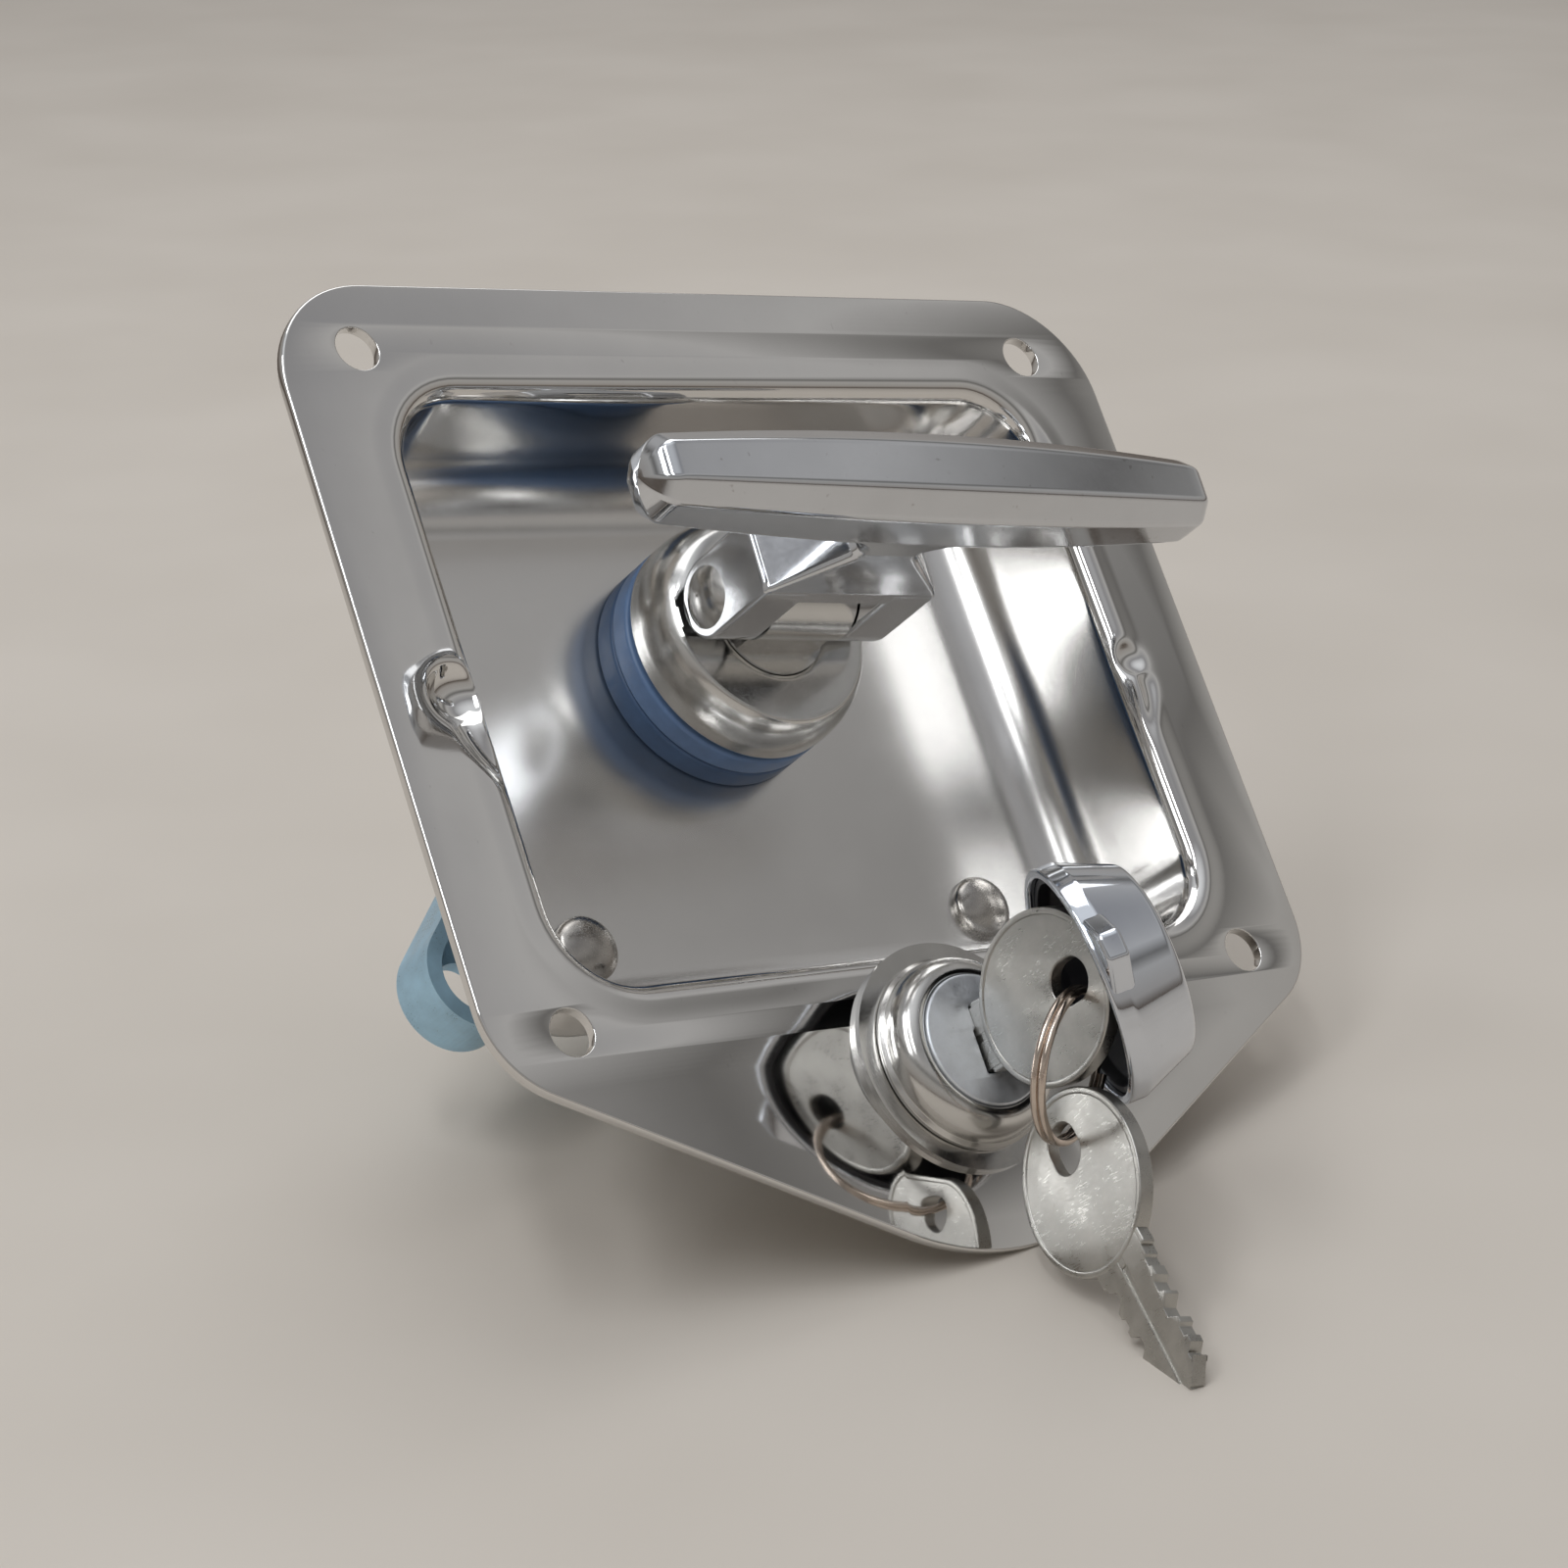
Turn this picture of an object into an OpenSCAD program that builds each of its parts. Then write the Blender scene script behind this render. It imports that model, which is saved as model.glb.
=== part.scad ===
// Flush T-handle lock: pressed pan, folding T-handle, key lock with hinged weather cap, rear latch arm.
// X right, Z up, -Y out of the panel. The origin is the centre of the four screw holes,
// on the back face of the flange, which is the face that lies on the panel.

/* [Flange] */
// Sheet thickness of the pressed tray
sheet_t = 1.5; // [1:0.1:2]
// Flange width
flange_w = 123.6; // [120:0.5:130]
// Height of the flange top above the hole centre
flange_top = 50.9; // [49:0.5:56]
// Where the sides would meet the lower slopes, below the hole centre
flange_shoulder = 45.8; // [44:0.2:50]
// Slope of the lower edges in degrees
flange_slope = 27.9; // [26:0.1:30]
// Radius of the upper corners
flange_corner_r = 14; // [10:0.5:16]
// Radius of the lower corners
flange_lower_r = 12; // [8:0.5:13]
// Radius of the bottom point
flange_point_r = 32; // [20:1:34]
// Hole spacing across
hole_dx = 101.6; // [98:0.2:104]
// Hole spacing up
hole_dz = 84.6; // [82:0.2:88]
// Screw hole diameter
hole_d = 5.56; // [4.5:0.1:6.4]

/* [Pan] */
// Width of the pan at its mouth
pan_w = 96.4; // [88:0.5:97]
// Top of the pan wall above the hole centre
pan_top = 36.4; // [33:0.5:37]
// Bottom of the pan wall below the hole centre
pan_bottom = 37.2; // [34:0.5:38]
// Depth of the pan from the flange front
pan_depth = 21; // [18:0.5:24]
// Corner radius of the pan
pan_corner_r = 9.6; // [9.5:0.1:14]
// Bend radius at the mouth
mouth_r = 2.6; // [2:0.1:3.5]
// Bend radius at the floor
floor_r = 7.5; // [5:0.5:8]
// Draft of the pan walls in degrees
pan_draft = 4; // [2:0.5:6]
// Radius of the finger dimples in the side edges
dimple_r = 5.2; // [4:0.1:6]
// Height of the finger dimples
dimple_z = -1.7; // [-6:0.5:4]

/* [Boss] */
// Height of the spindle axis above the hole centre
spindle_z = 8.8; // [6:0.2:12]
// Resting turn of the handle in degrees
rest_turn = 3; // [0:0.5:5]
// Spindle shaft diameter
shaft_d = 15; // [12:0.5:16]
// Outer diameter of the two blue rings
ring_d = 30.8; // [28:0.2:32]
// Thickness of the lower ring
seal_t = 3.6; // [3:0.1:4]
// Thickness of the upper ring
bearing_t = 3.4; // [3:0.1:4]
// Height of the domed collar
collar_h = 9.2; // [8:0.2:10]
// Diameter of the crest of the collar
collar_crest_d = 22; // [20:0.5:24]
// Height of the cross pin above the collar
pin_rise = 4.05; // [3.9:0.05:5]

/* [Handle] */
// Length of the T bar
bar_l = 81.5; // [76:0.5:86]
// Thickness of the bar in the middle
bar_t = 11.8; // [10:0.2:13]
// Thickness of the bar near its ends
bar_end_t = 8.6; // [7:0.2:10]
// Distance from the cross pin to the bar centre
bar_reach = 28.75; // [26:0.25:31]
// Drop of the bar centre below the pin
bar_drop = 1; // [0:0.1:2]
// Diameter of the cross pin
pin_d = 5; // [4:0.2:6]
// Width of the fork across its cheeks
fork_w = 25.6; // [24:0.2:28]
// Diameter of the knuckle and of the cheeks round the pin
knuckle_d = 10; // [9:0.2:11]
// Width of the knuckle between the cheeks
knuckle_w = 12; // [10:0.5:13]
// Length of the fork's cheeks beyond the pin
cheek_l = 11; // [9:0.5:13]
// Width of the stem between the fork and the bar
stem_w = 9; // [7:0.5:12]
// Thickness of the stem
stem_t = 7.6; // [6:0.2:9]
// Width of the stem's flare under the bar
flare_w = 24; // [16:1:30]

/* [Rear] */
// Length of the latch arm between centres
arm_l = 46; // [36:1:54]
// Direction of the latch arm below the left side in degrees
arm_dir = 41; // [30:1:60]
// Width of the latch arm at its hub
arm_hub_d = 24; // [22:0.5:28]
// Width of the latch arm at its end
arm_end_d = 14.5; // [12:0.5:18]
// Height of the channel rim of the arm
arm_rim = 5.5; // [4:0.5:7]
// Gap between the pan back and the latch arm
arm_back = 13.5; // [12:0.5:18]
// Across flats of the square on the spindle
square_af = 9.4; // [8:0.2:10]
// Radius of the locking disc
disc_r = 17; // [15:0.5:19]
// Width of the locking slide
slide_w = 11; // [9:0.5:13]
// Throw radius of the lock's tail pin
throw_r = 5; // [4:0.1:6]

/* [Lock] */
// Depth of the lock axis below the hole centre
lock_z = -51; // [-52:0.5:-50]
// Barrel diameter
barrel_d = 18.6; // [17:0.2:19.4]
// Barrel length behind the flange
barrel_l = 20.4; // [18:0.2:22]
// Diameter of the domed bezel
bezel_d = 23.6; // [22:0.2:25]
// Height of the domed bezel
bezel_h = 4.6; // [4:0.1:6]
// Plug diameter
plug_d = 16.2; // [14:0.2:17]
// Outer diameter of the cap's hinge ring
hinge_ring_d = 28; // [27:0.2:30]
// Thickness of the cap's hinge ring
hinge_ring_t = 0.8; // [0.6:0.1:1.2]

/* [Weather cap] */
// Diameter of the cap at its rim
cap_d = 28.4; // [28:0.2:30]
// Diameter of the cap's flat end
cap_top_d = 22.6; // [20:0.2:25]
// Height of the straight band at the rim
cap_band = 2.4; // [2:0.1:3]
// Full height of the cap
cap_h = 9.6; // [9:0.1:11]
// Wall of the cap
cap_wall = 1.2; // [0.9:0.1:1.4]
// Distance from the lock axis to the cap's hinge pin
cap_hinge_r = 18; // [17.5:0.1:20]
// Height of the hinge pin above the flange front
cap_hinge_h = 6.5; // [6:0.1:7.5]
// Turn of the cap's hinge round the lock in degrees
cap_hinge_dir = 6; // [-10:1:15]
// Opening of the cap at rest in degrees
cap_open = 58; // [57:0.5:60]

/* [Keys] */
// Length of the key bow
bow_l = 22; // [20:0.5:24]
// Width of the key bow
bow_w = 20; // [18:0.5:22]
// Thickness of the keys
key_t = 2; // [1.6:0.1:2.2]
// Length of the key blade
blade_l = 18; // [16:0.5:20]
// Width of the key blade
blade_w = 7.6; // [7:0.1:8.4]
// Gap between the plug face and the bow
key_gap = 1.2; // [0.8:0.1:2]
// Mean radius of the split ring
split_r = 8.6; // [8.4:0.1:8.8]
// Wire thickness of the split ring
split_wire = 0.9; // [0.8:0.05:1]
// Tilt of the hanging ring towards the panel in degrees
split_tilt = 35.5; // [30:0.5:40]
// Turn of the hanging ring clear of the open cap in degrees
split_turn = 23; // [21:1:28]
// Lean of the spare key outwards in degrees
spare_lean = 20; // [18:0.5:22]
// Sideways lean of the spare key in degrees
spare_roll = 10; // [4:0.5:14]

/* [Hidden] */
$fn = 64;

// Places along the spindle and lock axes are heights above the flange back,
// positive outwards, so the pan and all rear pieces have negative heights.
front = sheet_t;
floor_front = front - pan_depth;
floor_back = floor_front - sheet_t;
run_gap = 0.05;
face_gap = 0.2;
through = 60;
bend_steps = 8;

hole_x = hole_dx / 2;
hole_z = hole_dz / 2;
mid_z = (pan_top - pan_bottom) / 2;
pan_h = pan_top + pan_bottom;
dimple_x = pan_w / 2 + 3.6;
dimple_rise = 2;

seal_top = floor_front + seal_t;
bearing_top = seal_top + bearing_t;
collar_top = bearing_top + collar_h;
pin_h = collar_top + pin_rise;
floor_hole_d = 21;
stem_low = cheek_l + (fork_w - stem_w) / 2 - 1.5;
shaft_hole_d = shaft_d + 2 * run_gap;

rivet_x = 30.5;
rivet_z = -25.7;
rivet_d = 4.8;
rivet_head_d = 8.4;
rivet_head_h = 2.2;

bush_t = 3;
bush_d = 25;
disc_t = 2.8;
disc_back = floor_back - bush_t - face_gap - disc_t;
slide_t = 2.4;
slide_front = floor_back - bush_t - 2 * face_gap;
arm_front = floor_back - arm_back;
arm_plate_t = 2.2;
arm_wall = 2;
arm_back_face = arm_front - arm_rim - arm_plate_t;
thread_d = 8;
washer_t = 1.6;
nut_t = 6.5;
nut_af = 13;
square_end = arm_back_face + 0.3;

guide_w = slide_w + 9;
guide_h = 10;
guide_back = slide_front - slide_t - face_gap;
bracket_t = 1.6;
slide_tip = spindle_z - disc_r - 1;
slide_foot = lock_z - throw_r - 3;
slide_foot_w = 2 * throw_r + 6.8;
tongue_l = 11;
spacer_d = shaft_d + 1;
hub_washer_d = spacer_d + 4;
spring_washer_d = spacer_d - 2;
spring_washer_t = 1.8;
tail_end = arm_back_face - washer_t - spring_washer_t - nut_t - 2;
notch_depth = 7.6;
tail_pin_d = 4;
tail_pin_x = -throw_r * sin(45);
tail_pin_z = -throw_r * sin(45);

ring_front = front + hinge_ring_t;
bezel_top = ring_front + face_gap + bezel_h;
plug_top = bezel_top + 0.2;
plug_back = -barrel_l;
keyway_w = key_t + 0.4;
keyway_h = blade_w + 0.6;
wafer_count = 5;
wafer_pitch = 3.1;
wafer_t = 1.2;

cap_pin_d = 2;
cap_offset = cap_hinge_h - hinge_ring_t - 0.1;
liner_t = 0.8;
lug_w = 5;
lug_r = 2.2;
lock_nut_af = barrel_d + 2.4;
lock_nut_t = 4.5;
lock_washer_t = 1;
tail_boss_r = plug_d / 2 - 2.1;
tail_tip_r = tail_pin_d / 2 + 1.6;
tail_screw_d = 4;

bow_back = plug_top + key_gap;
bow_hole_d = 5;
bow_hole_in = 5.6;
bow_hole_slot = 1.2;
hang = 1.3;
spare_seat = 0.75;

// Moves the drawing plane to the panel: x right, y up, z outwards.
module facing() {
    rotate([90, 0, 0]) children();
}

module at_spindle() {
    translate([0, 0, spindle_z]) rotate([0, rest_turn, 0]) facing() children();
}

module at_lock() {
    translate([0, 0, lock_z]) facing() children();
}

// A disc or ring between two heights.
module ring(d_out, d_in, low, high) {
    translate([0, 0, low]) difference() {
        cylinder(d = d_out, h = high - low);
        if (d_in > 0) translate([0, 0, -1]) cylinder(d = d_in, h = high - low + 2);
    }
}

module hex(af, low, high) {
    translate([0, 0, low]) cylinder(d = af / cos(30), h = high - low, $fn = 6);
}

// Points of an arc about c, from angle a0 to angle a1.
function arc(c, r, a0, a1, n) = [
    for (i = [0 : n]) c + r * [cos(a0 + (a1 - a0) * i / n), sin(a0 + (a1 - a0) * i / n)]
];

function reversed(p) = [for (i = [len(p) - 1 : -1 : 0]) p[i]];

// Section through the pan wall: x runs inwards from the wall face, y outwards.
wall_n = [cos(pan_draft), sin(pan_draft)];
mouth_c = [-mouth_r, front - mouth_r];
wall_top = mouth_c + mouth_r * wall_n;
floor_c_y = floor_front + floor_r;
floor_c_x = wall_top[0] + (floor_r - (floor_c_y - wall_top[1]) * wall_n[1]) / wall_n[0];
floor_c = [floor_c_x, floor_c_y];
section_front = concat(
    arc(mouth_c, mouth_r, 90, pan_draft, bend_steps),
    arc(floor_c, floor_r, 180 + pan_draft, 270, bend_steps)
);
section_back = concat(
    arc(mouth_c, mouth_r - sheet_t, 90, pan_draft, bend_steps),
    arc(floor_c, floor_r + sheet_t, 180 + pan_draft, 270, bend_steps)
);

module wall_section() {
    polygon(concat(section_front, reversed(section_back)));
}

// A rounded rectangle without hull, so that its corners stay true arcs.
module true_rect(w, h, r) {
    square([w - 2 * r, h], center = true);
    square([w, h - 2 * r], center = true);
    for (sx = [-1, 1], sy = [-1, 1]) {
        translate([sx * (w / 2 - r), sy * (h / 2 - r)]) circle(r = r);
    }
}

// Outline of the flange: a square top, sloped lower edges and a blunt rounded point.
module flange_outline() {
    half = flange_w / 2;
    upper_y = flange_top - flange_corner_r;
    lower_y = -flange_shoulder + flange_lower_r * (1 - sin(flange_slope)) / cos(flange_slope);
    point_y = -flange_shoulder + (flange_point_r - half * sin(flange_slope)) / cos(flange_slope);
    polygon(concat(
        arc([half - flange_corner_r, upper_y], flange_corner_r, 0, 90, 12),
        arc([-half + flange_corner_r, upper_y], flange_corner_r, 90, 180, 12),
        arc([-half + flange_lower_r, lower_y], flange_lower_r, 180, 270 - flange_slope, 10),
        arc([0, point_y], flange_point_r, 270 - flange_slope, 270 + flange_slope, 12),
        arc([half - flange_lower_r, lower_y], flange_lower_r, 270 + flange_slope, 360, 10)
    ));
}

module pan_walls() {
    run_x = pan_w / 2 - pan_corner_r;
    run_y = pan_h / 2 - pan_corner_r;
    for (s = [0, 180]) {
        rotate([0, 0, s]) translate([run_x, pan_h / 2, 0]) rotate([0, 0, -90]) rotate([90, 0, 0])
            linear_extrude(2 * run_x) wall_section();
        rotate([0, 0, s]) translate([-pan_w / 2, run_y, 0]) rotate([90, 0, 0])
            linear_extrude(2 * run_y) wall_section();
    }
    corners = [[1, 1], [-1, 1], [-1, -1], [1, -1]];
    for (k = [0 : 3]) {
        translate([corners[k][0] * run_x, corners[k][1] * run_y, 0]) rotate([0, 0, 90 * k])
            rotate_extrude(angle = 90) translate([pan_corner_r, 0]) mirror([1, 0]) wall_section();
    }
}

module dimple_ball(extra) {
    for (s = [-1, 1]) {
        translate([s * dimple_x, dimple_z, front + dimple_rise]) sphere(r = dimple_r + extra);
    }
}

module tray_sheet() {
    linear_extrude(sheet_t) difference() {
        flange_outline();
        translate([0, mid_z]) true_rect(pan_w + 2 * mouth_r, pan_h + 2 * mouth_r, pan_corner_r + mouth_r);
    }
    translate([0, mid_z, 0]) pan_walls();
    translate([0, mid_z, floor_back]) linear_extrude(sheet_t)
        true_rect(pan_w - 2 * floor_c[0], pan_h - 2 * floor_c[0], pan_corner_r - floor_c[0]);
}

module tray() {
    color([0.72, 0.71, 0.7]) facing() difference() {
        union() {
            tray_sheet();
            intersection() {
                dimple_ball(sheet_t);
                translate([0, dimple_z, front - dimple_r])
                    cube([flange_w - 4, 2 * dimple_r + 4, 2 * dimple_r], center = true);
            }
        }
        dimple_ball(0);
        for (sx = [-1, 1], sy = [-1, 1]) {
            translate([sx * hole_x, sy * hole_z, -1]) cylinder(d = hole_d, h = sheet_t + 2);
            if (sy < 0) {
                translate([sx * rivet_x, rivet_z, floor_back - 1])
                    cylinder(d = rivet_d + 2 * run_gap, h = sheet_t + 2);
            }
        }
        translate([0, spindle_z, floor_back - 1]) cylinder(d = floor_hole_d, h = sheet_t + 2);
        translate([0, lock_z, -1]) cylinder(d = barrel_d + 2 * run_gap, h = sheet_t + 2);
    }
}

// Domed head of a sphere cap with radius head_d / 2 and height head_h.
module domed_head(head_d, head_h) {
    ball_r = (head_d * head_d / 4 + head_h * head_h) / (2 * head_h);
    rotate_extrude() intersection() {
        translate([0, head_h - ball_r]) circle(r = ball_r, $fn = 96);
        square([head_d / 2, head_h]);
    }
}

module pan_rivets() {
    color([0.5, 0.49, 0.47]) facing() for (s = [-1, 1]) translate([s * rivet_x, rivet_z, 0]) {
        translate([0, 0, floor_front]) domed_head(rivet_head_d, rivet_head_h);
        ring(rivet_d, 0, floor_back - bracket_t - 1, floor_front);
        translate([0, 0, floor_back - bracket_t - 1.2]) cylinder(d = rivet_d + 2, h = 1.2);
    }
}

module seal_ring() {
    color([0.24, 0.32, 0.46]) at_spindle() ring(ring_d, shaft_hole_d, floor_front, seal_top);
}

module bearing_ring() {
    color([0.4, 0.5, 0.66]) at_spindle() ring(ring_d, shaft_hole_d, seal_top, bearing_top);
}

// Polished collar: a stepped rim, a rounded crest and a dish with the seat of the knuckle.
// The cut below the pin lets the fork fold down over the crest.
module collar() {
    rim_r = ring_d / 2;
    dome_foot = 2.4;
    crest_r = collar_crest_d / 2;
    dome_h = collar_h - dome_foot;
    dish = 1.6;
    step = 0.7;
    seat = 0.8;
    fold_w = fork_w + 0.8;
    color([0.72, 0.71, 0.7]) at_spindle() translate([0, 0, bearing_top]) difference() {
        rotate_extrude() polygon(concat(
            [[shaft_d / 2 + run_gap, 0.1], [rim_r - step - 0.2, 0.1], [rim_r - step - 0.2, step], [rim_r - 0.2, step]],
            [[rim_r - 0.2, step + 0.4], [rim_r, step + 0.6], [rim_r, dome_foot]],
            [for (i = [1 : 10]) [
                crest_r + (rim_r - crest_r) * cos(9 * i),
                dome_foot + dome_h * sin(9 * i)
            ]],
            [[crest_r - 1.6, collar_h - dish / 4], [shaft_d / 2 + run_gap, collar_h - dish]]
        ));
        translate([0, 0, pin_h - bearing_top]) rotate([0, 90, 0])
            cylinder(d = knuckle_d + 2 * seat, h = fold_w, center = true);
        translate([-fold_w / 2, -ring_d, pin_h - bearing_top - knuckle_d / 2 - seat / 2])
            cube([fold_w, ring_d, collar_h]);
    }
}

module spindle() {
    color([0.62, 0.63, 0.64]) at_spindle() difference() {
        union() {
            ring(shaft_d, 0, floor_back - bush_t, collar_top - 1);
            translate([-knuckle_w / 2, -knuckle_d / 2 + 1, collar_top - 2]) cube([knuckle_w, knuckle_d - 2, pin_rise]);
            translate([0, 0, pin_h]) rotate([0, 90, 0]) cylinder(d = knuckle_d, h = knuckle_w, center = true);
            translate([-square_af / 2, -square_af / 2, square_end]) cube([square_af, square_af, floor_back - square_end]);
            ring(thread_d, 0, tail_end, square_end);
        }
        translate([0, 0, pin_h]) rotate([0, 90, 0])
            cylinder(d = pin_d + 2 * run_gap, h = fork_w, center = true);
    }
}

module handle_pin() {
    head_h = 1.3;
    color([0.6, 0.6, 0.6]) at_spindle() translate([0, 0, pin_h]) rotate([0, 90, 0]) {
        cylinder(d = pin_d, h = fork_w, center = true);
        for (s = [0, 180]) rotate([s, 0, 0]) translate([0, 0, fork_w / 2]) domed_head(pin_d + 2.6, head_h);
    }
}

// Half thickness and half depth of the bar at the place t, from -1 to 1 along it.
function bar_half(t) = let (a = abs(t)) bar_end_t / 2 + (bar_t - bar_end_t) / 2 * (1 - a * a);
function bar_ends(t) = let (a = abs(t), e = (a - 0.93) / 0.07) a < 0.93 ? 1 : sqrt(max(0.04, 1 - e * e * 0.96));
bar_places = [-1, -0.985, -0.96, -0.93, -0.78, -0.6, -0.4, -0.2, 0, 0.2, 0.4, 0.6, 0.78, 0.93, 0.96, 0.985, 1];
bar_sides = 16;

// The bar is boat shaped: a soft eight-sided section that swells to the middle.
module bar() {
    points = [
        for (t = bar_places, k = [0 : bar_sides - 1])
            let (
                a = 360 * (k + 0.5) / bar_sides,
                r = bar_half(t) * bar_ends(t),
                p = 0.72,
                cx = sign(cos(a)) * pow(abs(cos(a)), p),
                cy = sign(sin(a)) * pow(abs(sin(a)), p)
            )
            [t * bar_l / 2, r * cx, r * cy * 1.02]
    ];
    rings = len(bar_places);
    faces = concat(
        [for (i = [0 : rings - 2], k = [0 : bar_sides - 1]) let (m = (k + 1) % bar_sides)
            [(i + 1) * bar_sides + k, (i + 1) * bar_sides + m, i * bar_sides + m, i * bar_sides + k]],
        [[for (k = [0 : bar_sides - 1]) k]],
        [[for (k = [bar_sides - 1 : -1 : 0]) (rings - 1) * bar_sides + k]]
    );
    polyhedron(points, faces);
}

// Outline of the fork and stem, seen along the drop of the bar: x across, y away from the pin.
module fork_outline() {
    half = fork_w / 2;
    slot = knuckle_w / 2 + face_gap;
    slot_top = knuckle_d / 2 + 3.4;
    polygon([
        [-half, -knuckle_d / 2], [-slot, -knuckle_d / 2], [-slot, slot_top - 1.5], [-slot + 1.5, slot_top],
        [slot - 1.5, slot_top], [slot, slot_top - 1.5], [slot, -knuckle_d / 2], [half, -knuckle_d / 2],
        [half, cheek_l - 0.6], [half - 0.6, cheek_l], [stem_w / 2 + 0.6, stem_low], [stem_w / 2, stem_low + 1],
        [stem_w / 2 + 0.6, stem_low + 2], [flare_w / 2, bar_reach - 3.4], [-flare_w / 2, bar_reach - 3.4],
        [-stem_w / 2 - 0.6, stem_low + 2], [-stem_w / 2, stem_low + 1], [-stem_w / 2 - 0.6, stem_low],
        [-half + 0.6, cheek_l], [-half, cheek_l - 0.6]
    ]);
}

// Side view of the fork and stem: y is the drop of the bar, x away from the pin.
module fork_side() {
    half = knuckle_d / 2;
    circle(r = half);
    polygon([
        [0, -half], [cheek_l, -half], [stem_low + 1, -stem_t / 2 - bar_drop / 2],
        [bar_reach - 3, -stem_t / 2 - bar_drop - 0.6], [bar_reach - 3, stem_t / 2 - bar_drop + 0.6],
        [stem_low + 1, stem_t / 2 - bar_drop / 2], [cheek_l, half], [0, half]
    ]);
}

module t_handle() {
    color([0.66, 0.68, 0.72]) at_spindle() translate([0, 0, pin_h]) difference() {
        union() {
            intersection() {
                rotate([90, 0, 0]) linear_extrude(2 * knuckle_d, center = true) fork_outline();
                rotate([0, -90, 0]) linear_extrude(2 * fork_w, center = true) fork_side();
            }
            translate([0, -bar_drop, bar_reach]) bar();
        }
        rotate([0, 90, 0]) cylinder(d = pin_d + 2 * run_gap, h = fork_w + 2, center = true);
    }
}

module rear_bush() {
    color([0.75, 0.62, 0.38]) at_spindle() {
        ring(bush_d, shaft_hole_d, floor_back - bush_t, floor_back);
        ring(floor_hole_d - 2 * run_gap, shaft_hole_d, floor_back, floor_front);
    }
}

module square_bore(low, high) {
    side = square_af + 2 * run_gap;
    translate([-side / 2, -side / 2, low - 1]) cube([side, side, high - low + 2]);
}

// The notch faces the locking slide while the handle is closed.
module lock_disc() {
    notch_w = slide_w - 3;
    color([0.75, 0.75, 0.72]) at_spindle() difference() {
        ring(2 * disc_r, 0, disc_back, disc_back + disc_t);
        square_bore(disc_back, disc_back + disc_t);
        rotate([0, 0, rest_turn]) translate([-notch_w / 2, -disc_r - 1, disc_back - 1])
            cube([notch_w, notch_depth + 1, disc_t + 2]);
    }
}

module arm_spacer() {
    color([0.7, 0.7, 0.68]) at_spindle() difference() {
        ring(spacer_d, 0, arm_front, disc_back);
        square_bore(arm_front, disc_back);
    }
}

// Two true circles joined by their tangents.
module tapered_link(r_near, r_far, length) {
    lean = asin((r_near - r_far) / length);
    circle(r = r_near);
    translate([length, 0]) circle(r = r_far);
    polygon([
        [r_near * sin(lean), r_near * cos(lean)], [length + r_far * sin(lean), r_far * cos(lean)],
        [length + r_far * sin(lean), -r_far * cos(lean)], [r_near * sin(lean), -r_near * cos(lean)]
    ]);
}

module arm_outline(grow) {
    hull() {
        circle(d = arm_hub_d + 2 * grow);
        translate([arm_l, 0]) circle(d = arm_end_d + 2 * grow);
    }
}

// Pressed channel arm: a plate with a rim that faces the pan.
module latch_arm() {
    color([0.6, 0.74, 0.82]) at_spindle() rotate([0, 0, 180 + arm_dir + rest_turn]) difference() {
        translate([0, 0, arm_back_face]) linear_extrude(arm_rim + arm_plate_t) arm_outline(0);
        difference() {
            translate([0, 0, arm_back_face + arm_plate_t]) linear_extrude(arm_rim + 1) arm_outline(-arm_wall);
            cylinder(d = spacer_d, h = 2 * through, center = true);
        }
        rotate([0, 0, -180 - arm_dir - rest_turn]) square_bore(arm_back_face, arm_front);
        translate([arm_l, 0, arm_back_face - 1]) cylinder(d = 6.6, h = arm_plate_t + 2);
    }
}

module arm_washer() {
    color([0.8, 0.8, 0.78]) at_spindle()
        ring(hub_washer_d, thread_d + 0.4, arm_back_face - washer_t, arm_back_face);
}

module spring_washer() {
    top = arm_back_face - washer_t;
    color([0.45, 0.45, 0.46]) at_spindle() difference() {
        ring(spring_washer_d, thread_d + 0.4, top - spring_washer_t, top);
        rotate([0, 0, 20]) translate([thread_d / 2 - 1, -0.4, top - 3]) cube([spring_washer_d, 0.8, 5]);
    }
}

module arm_nut() {
    top = arm_back_face - washer_t - spring_washer_t;
    color([0.78, 0.76, 0.6]) at_spindle() difference() {
        intersection() {
            hex(nut_af, top - nut_t, top);
            translate([0, 0, top - nut_t]) cylinder(d1 = nut_af, d2 = nut_af + 3, h = nut_t);
        }
        translate([0, 0, top - nut_t - 1]) cylinder(d = thread_d + 2 * run_gap, h = nut_t + 2);
    }
}

module slide_guide() {
    color([0.15, 0.15, 0.16]) facing() difference() {
        translate([-guide_w / 2, rivet_z - guide_h / 2, guide_back])
            cube([guide_w, guide_h, floor_back - guide_back]);
        translate([-slide_w / 2 - face_gap, rivet_z - guide_h, guide_back - 1])
            cube([slide_w + 2 * face_gap, 2 * guide_h, slide_front + face_gap - guide_back + 1]);
    }
}

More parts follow.
